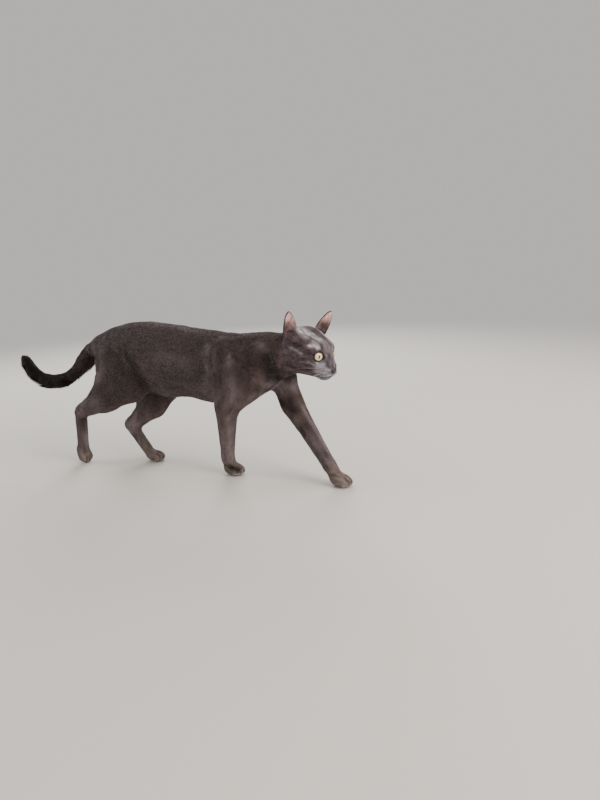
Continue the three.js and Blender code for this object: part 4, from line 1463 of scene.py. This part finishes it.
# %% Where the coat is finer or looser
to_nose_mm = np.linalg.norm(places - NOSE_PLACE, axis=1)
face = smoothstep(42, 8, to_nose_mm)
shoulder = np.isin(solids, numbers_of("fore_leg")) * smoothstep(130, 175, surface.points[:, 2] / MM)
shoulder = surface.blur(shoulder, 20)
length += 3.5 * shoulder
width += 0.1 * shoulder
room = np.maximum(room, 2.6 * shoulder)
length *= 1 - 0.55 * face
width *= 1 - 0.3 * face
density *= 1 + 0.9 * face
rump = np.array(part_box("tail_base")[1]) - [0.02, 0.02, 0.006]
near_tail = smoothstep(45, 15, np.linalg.norm((surface.points - rump) / MM, axis=1))
room = np.maximum(room, 2.5 * np.maximum(near_tail, on_tail))
length *= 1 + 0.6 * near_tail
tail_fringe = on_tail * smoothstep(0.2, -0.6, surface.normals[:, 2])
locks = mottle(surface.points, 6, 13)
length *= 1 + 0.45 * tail_fringe * (1 + 0.3 * locks)
highest = highest + 0.5 * near_tail + 0.8 * tail_fringe
hip = np.isin(solids, numbers_of("hind_leg")) * smoothstep(100, 140, surface.points[:, 2] / MM)
breeches = surface.blur(hip * smoothstep(-0.2, -0.8, surface.normals[:, 0]), 12)
length *= 1 + 0.7 * breeches
highest = highest + breeches
underside = smoothstep(-0.1, -0.8, surface.normals[:, 2]) * np.isin(solids, numbers_of("trunk"))
length *= 1 + 0.25 * surface.blur(underside, 10)
print("longest tufts:", round(float(length.max()), 1), "mm")


# %% [markdown]
# No hair grows on the lids' edges, the lips, the nose leather, inside the ears or on the pads. Each
# of them already has a function or a piece to measure from, so the coat simply thins out to nothing
# towards them, and the last tufts beside them are short. Longer hairs cross the base of each ear.


# %% Bare places
lid_edge = np.min([lid_distance(places, side)[0] for side in SIDES], 0)
bare = smoothstep(0.9, 0.2, lid_edge)
length *= 1 - 0.45 * smoothstep(6, 1, lid_edge)
mouth_distance = np.minimum(*(distance_to_line(places, line) for line in mouth_lines))
bare = np.maximum(bare, smoothstep(1.5, 0.7, mouth_distance))
length *= 1 - 0.4 * smoothstep(4, 1, mouth_distance)
bare = np.maximum(bare, smoothstep(1.15, 1.0, np.linalg.norm((places - NOSE_PLACE) / NOSE_HALF, axis=1)))
inner_ear = on_ear * smoothstep(0.0, 0.35, ear_facing(surface.normals))
ear_base = smoothstep(48, 30, places[:, 2])
bare = np.maximum(bare, inner_ear * (1.0 - 0.65 * ear_base))
pad_tree = tree_of(pads)
pad_distance = np.array([pad_tree.find_nearest(point)[3] for point in surface.points]) / MM
bare = np.maximum(bare, smoothstep(1.6, 0.6, pad_distance))
length += 6.0 * inner_ear * ear_base
density = density * (1 - bare)
print("bare points of the skin:", int(np.sum(bare > 0.5)))


# %% [markdown]
# Tufts have to be spread evenly by area, not by face, and denser where the table says so. All the
# faces are laid end to end on a ladder, each as long as the tufts it should carry. One root on each
# rung, with a little chance, leaves no bare gaps as pure chance would.


# %% Roots of the tufts
corners = np.empty(len(skin.data.polygons) * 3, dtype=np.int64)
skin.data.polygons.foreach_get("vertices", corners)
corners = corners.reshape(-1, 3)
edge_a = surface.points[corners[:, 1]] - surface.points[corners[:, 0]]
edge_b = surface.points[corners[:, 2]] - surface.points[corners[:, 0]]
area = np.linalg.norm(np.cross(edge_a, edge_b), axis=1) / 2 / MM**2
weight = area * density[corners].mean(axis=1)
print("skin area:", round(area.sum() / 100), "cm2; tufts asked for:", round(weight.sum()))
ladder = np.cumsum(weight) / weight.sum() * TUFTS
rungs = np.arange(TUFTS) + rng.random(TUFTS)
root_face = np.minimum(np.searchsorted(ladder, rungs), len(corners) - 1)
spread, turn_share = np.sqrt(rng.random(TUFTS)), rng.random(TUFTS)
shares = np.column_stack([1 - spread, spread * (1 - turn_share), spread * turn_share])


def at_roots(values):
    """A value of the skin's points, read off at each root."""
    picked = values[corners[root_face]]
    return np.einsum("ij,ij...->i...", shares, picked)


def unit_rows(vectors):
    return vectors / np.maximum(np.linalg.norm(vectors, axis=1), 1e-12)[:, None]


roots, root_normals = at_roots(surface.points), unit_rows(at_roots(surface.normals))
print("tufts rooted:", len(roots))


# %% [markdown]
# A tuft starts along the lie of the coat and swings a little to one side. Neighbours swing together
# in clumps and patches, as brushed or licked fur does, and each also swings by chance. The same
# clumps decide how high the tips rise, which gives the coat its waves. On the tail most of that is
# held back, because stripes across a thin tail would look like rings.


# %% Lie, length and rise of each tuft
steady = 1 - 0.7 * at_roots(on_tail)
swing = rng.normal(0, 0.17, TUFTS) + steady * (0.16 * at_roots(clumps) + 0.1 * at_roots(patches))
flow = unit_rows(at_roots(lie))
flow = unit_rows(flow - root_normals * np.sum(flow * root_normals, axis=1)[:, None])
aside = np.cross(root_normals, flow)
flow = np.cos(swing)[:, None] * flow + np.sin(swing)[:, None] * aside
aside = np.cross(root_normals, flow)
tuft_length = at_roots(length) * rng.uniform(0.7, 1.25, TUFTS) * MM
tuft_width = at_roots(width) * rng.uniform(0.75, 1.3, TUFTS) * MM
waves_of_coat = 0.12 * at_roots(clumps) + 0.1 * at_roots(long_streak)
rise = 0.5 * rng.random(TUFTS) + 0.25 + steady * waves_of_coat
rise = np.clip(rise + 0.4 * at_roots(tail_fringe * locks), 0, 1)
tip_share = at_roots(lowest) + (at_roots(highest) - at_roots(lowest)) * rise
tuft_room = at_roots(room) * MM
print("mean length of a tuft:", round(float(tuft_length.mean() / MM), 1), "mm")


# %% [markdown]
# A straight tuft would stick out at every curve of the body. So its tip is first carried along the
# lie, then set down at its own height above the skin nearest to it. The waist, a little under half
# way, is lifted too, so that a tuft leaves the skin, bends over and comes to lie on the others.


# %% Tips and waists of the tufts
skin_tree = tree_of(skin)
tips = roots + (flow + 0.2 * root_normals) * tuft_length[:, None]
for i in range(TUFTS):
    place, normal, _, _ = skin_tree.find_nearest(tips[i])
    tips[i] = place + normal * float(tip_share[i] * tuft_room[i])
waist = roots + 0.45 * (tips - roots) + root_normals * (0.3 * tip_share * tuft_room + 0.12 * MM)[:, None]
print("highest tip above its root:", round(float((tip_share * tuft_room).max() / MM), 1), "mm")


# %% [markdown]
# One tuft is a closed leaf of five points and six faces: a root under the skin, two edges, a ridge
# and a tip. Blender's hair could draw far finer strands, but it isn't a mesh that can be exported. A
# leaf has real thickness and catches light along its ridge, and its tip is paler than its root.


# %% Shape of a tuft
ROOT_DEPTH = 0.35 * MM
edge = aside * (tuft_width / 2)[:, None]
tuft_points = np.stack(
    [
        roots - root_normals * ROOT_DEPTH,
        waist - edge,
        waist + edge,
        waist + root_normals * (0.16 * tuft_width)[:, None],
        tips,
    ],
    axis=1,
)
LEAF_FACES = np.array([[0, 3, 1], [0, 2, 3], [1, 3, 4], [3, 2, 4], [0, 1, 2], [1, 4, 2]])
LEAF_PATCH = np.array([[0, -1], [-1, 0], [1, 0], [0, 0], [0, 1]]) * 0.0014
LEAF_SHADE = np.array([0.85, 0.97, 0.97, 1.0, 1.12])

root_solids = solids[corners[root_face, 0]]
root_colour = at_roots(skin_colour)
tuft_shade = rng.normal(1.0, 0.065, TUFTS).clip(0.7, 1.35)
print("points of the coat:", tuft_points.shape[0] * tuft_points.shape[1])


# %% [markdown]
# Cat hair is keratin with a scaly surface, so a coat of it is mostly matt, with a soft bloom where
# one looks along it. A hair shader would be truer, but it needs strands. The sheen of the plain
# shader gives that bloom on leaves. The long dark hairs of the tail take in nearly all the light.


# %% Fur
def fur_material(name, gloss, sheen):
    material, tree, shader = new_material(
        name, Roughness=0.62, Specular_IOR_Level=gloss, Sheen_Weight=sheen, Sheen_Roughness=0.18
    )
    shader.inputs["Sheen Tint"].default_value = linear("#E6DAD8")
    marking = add_node(tree, "ShaderNodeAttribute", attribute_name="markings")
    tree.links.new(marking.outputs["Color"], shader.inputs["Base Color"])
    return material


# short fur, grown and groomed flat: matt, with a grey bloom over the turn of each form
body_finish = fur_material("short dense cat fur", 0.13, 0.27)
# coarse guard hair, grown long and nearly black: it hardly shines at all
tail_finish = fur_material("dark guard hair of the tail", 0.05, 0.03)
print("finishes of the coat:", body_finish.name, "and", tail_finish.name)


# %% [markdown]
# The tufts of one part are joined into one mesh. An operator for each of two hundred thousand leaves
# would take minutes, so their points and faces are handed over as whole arrays. Each piece is also
# unwrapped round an axis of its own, with one small patch for each tuft, ready for a baked texture.


# %% Joining tufts
def coat_piece(name, chosen, centre, axis):
    """Joins the chosen tufts into one mesh, with each tuft's patch on an unwrap round the axis."""
    count = len(chosen)
    mesh = bpy.data.meshes.new(name)
    faces = (LEAF_FACES[None] + 5 * np.arange(count)[:, None, None]).reshape(-1)
    mesh.vertices.add(count * 5)
    mesh.vertices.foreach_set("co", tuft_points[chosen].astype(np.float32).ravel())
    mesh.loops.add(len(faces))
    mesh.loops.foreach_set("vertex_index", faces.astype(np.int32))
    mesh.polygons.add(count * 6)
    mesh.polygons.foreach_set("loop_start", np.arange(0, count * 18, 3, dtype=np.int32))
    mesh.update(calc_edges=True)
    mesh.validate()
    axis = np.array(unit(axis))
    side = unit_rows(np.cross(axis, [[0.13, 0.99, 0.05]]))[0]
    offset = roots[chosen] - np.array(centre)
    along = offset @ axis
    angle = np.arctan2(offset @ np.cross(axis, side), offset @ side)
    flat = np.column_stack([angle, along])
    flat = (flat - flat.min(0)) / np.maximum(np.ptp(flat, axis=0), 1e-9) * 0.98 + 0.01
    patch = (flat[:, None, :] + LEAF_PATCH[None]).reshape(-1, 2)
    layer = mesh.uv_layers.new(name="OFBake")
    layer.data.foreach_set("uv", patch[faces].astype(np.float32).ravel())
    mesh.materials.append(tail_finish if name == "coat_tail" else body_finish)
    piece = linked(name, mesh)
    colour = root_colour[chosen, None, :] * tuft_shade[chosen, None, None] * LEAF_SHADE[None, :, None]
    store_colour(piece, colour.reshape(-1, 3))
    return finish_piece(piece)


print("patch of a tuft in the unwrap:", float(np.ptp(LEAF_PATCH[:, 0])))


# %% [markdown]
# The coat is parted as a furrier would part a pelt: tail, neck, four legs, four quarters of the
# trunk and four of the head. Each part then stays small enough to handle. The skin under them is one
# piece, so the partings never show.


# %% Coat pieces
TAIL_AXIS, LEG_AXIS, BODY_AXIS = (-1, 0, -0.15), (0.1, 0, -1), (1, 0, 0)
is_tail = np.isin(root_solids, numbers_of("tail"))
is_head = np.isin(root_solids, numbers_of("head", "ear", "eye", "nose"))
is_neck = np.isin(root_solids, numbers_of("neck"))
is_trunk = np.isin(root_solids, numbers_of("trunk"))
on_left = roots[:, 1] > 0
head_place = to_head(roots)
head_left_half = head_place[:, 1] > 0
face_part = head_place[:, 0] > -12
groups = {
    "coat_tail": (is_tail, middle("tail_middle"), TAIL_AXIS),
    "coat_neck": (is_neck, middle("neck"), BODY_AXIS),
}
for part in ("fore", "hind"):
    for side in SIDES:
        of_leg = np.isin(root_solids, numbers_of(f"{part}_leg_{side}", f"{part}_paw_{side}"))
        groups[f"coat_{part}_leg_{side}"] = (of_leg, middle(f"{part}_leg_{side}"), LEG_AXIS)
trunk_middle = middle("trunk")
front_half = roots[:, 0] > trunk_middle.x + 0.01
for end, in_end in (("front", front_half), ("back", ~front_half)):
    for side, in_side in (("left", on_left), ("right", ~on_left)):
        groups[f"coat_trunk_{end}_{side}"] = (is_trunk & in_end & in_side, trunk_middle, BODY_AXIS)
for end, in_end in (("face", face_part), ("crown", ~face_part)):
    for side, in_side in (("left", head_left_half), ("right", ~head_left_half)):
        groups[f"coat_{end}_{side}"] = (is_head & in_end & in_side, middle("head"), head_ahead)
for name, (chosen, centre, axis) in groups.items():
    coat_piece(name, np.flatnonzero(chosen), centre, axis)
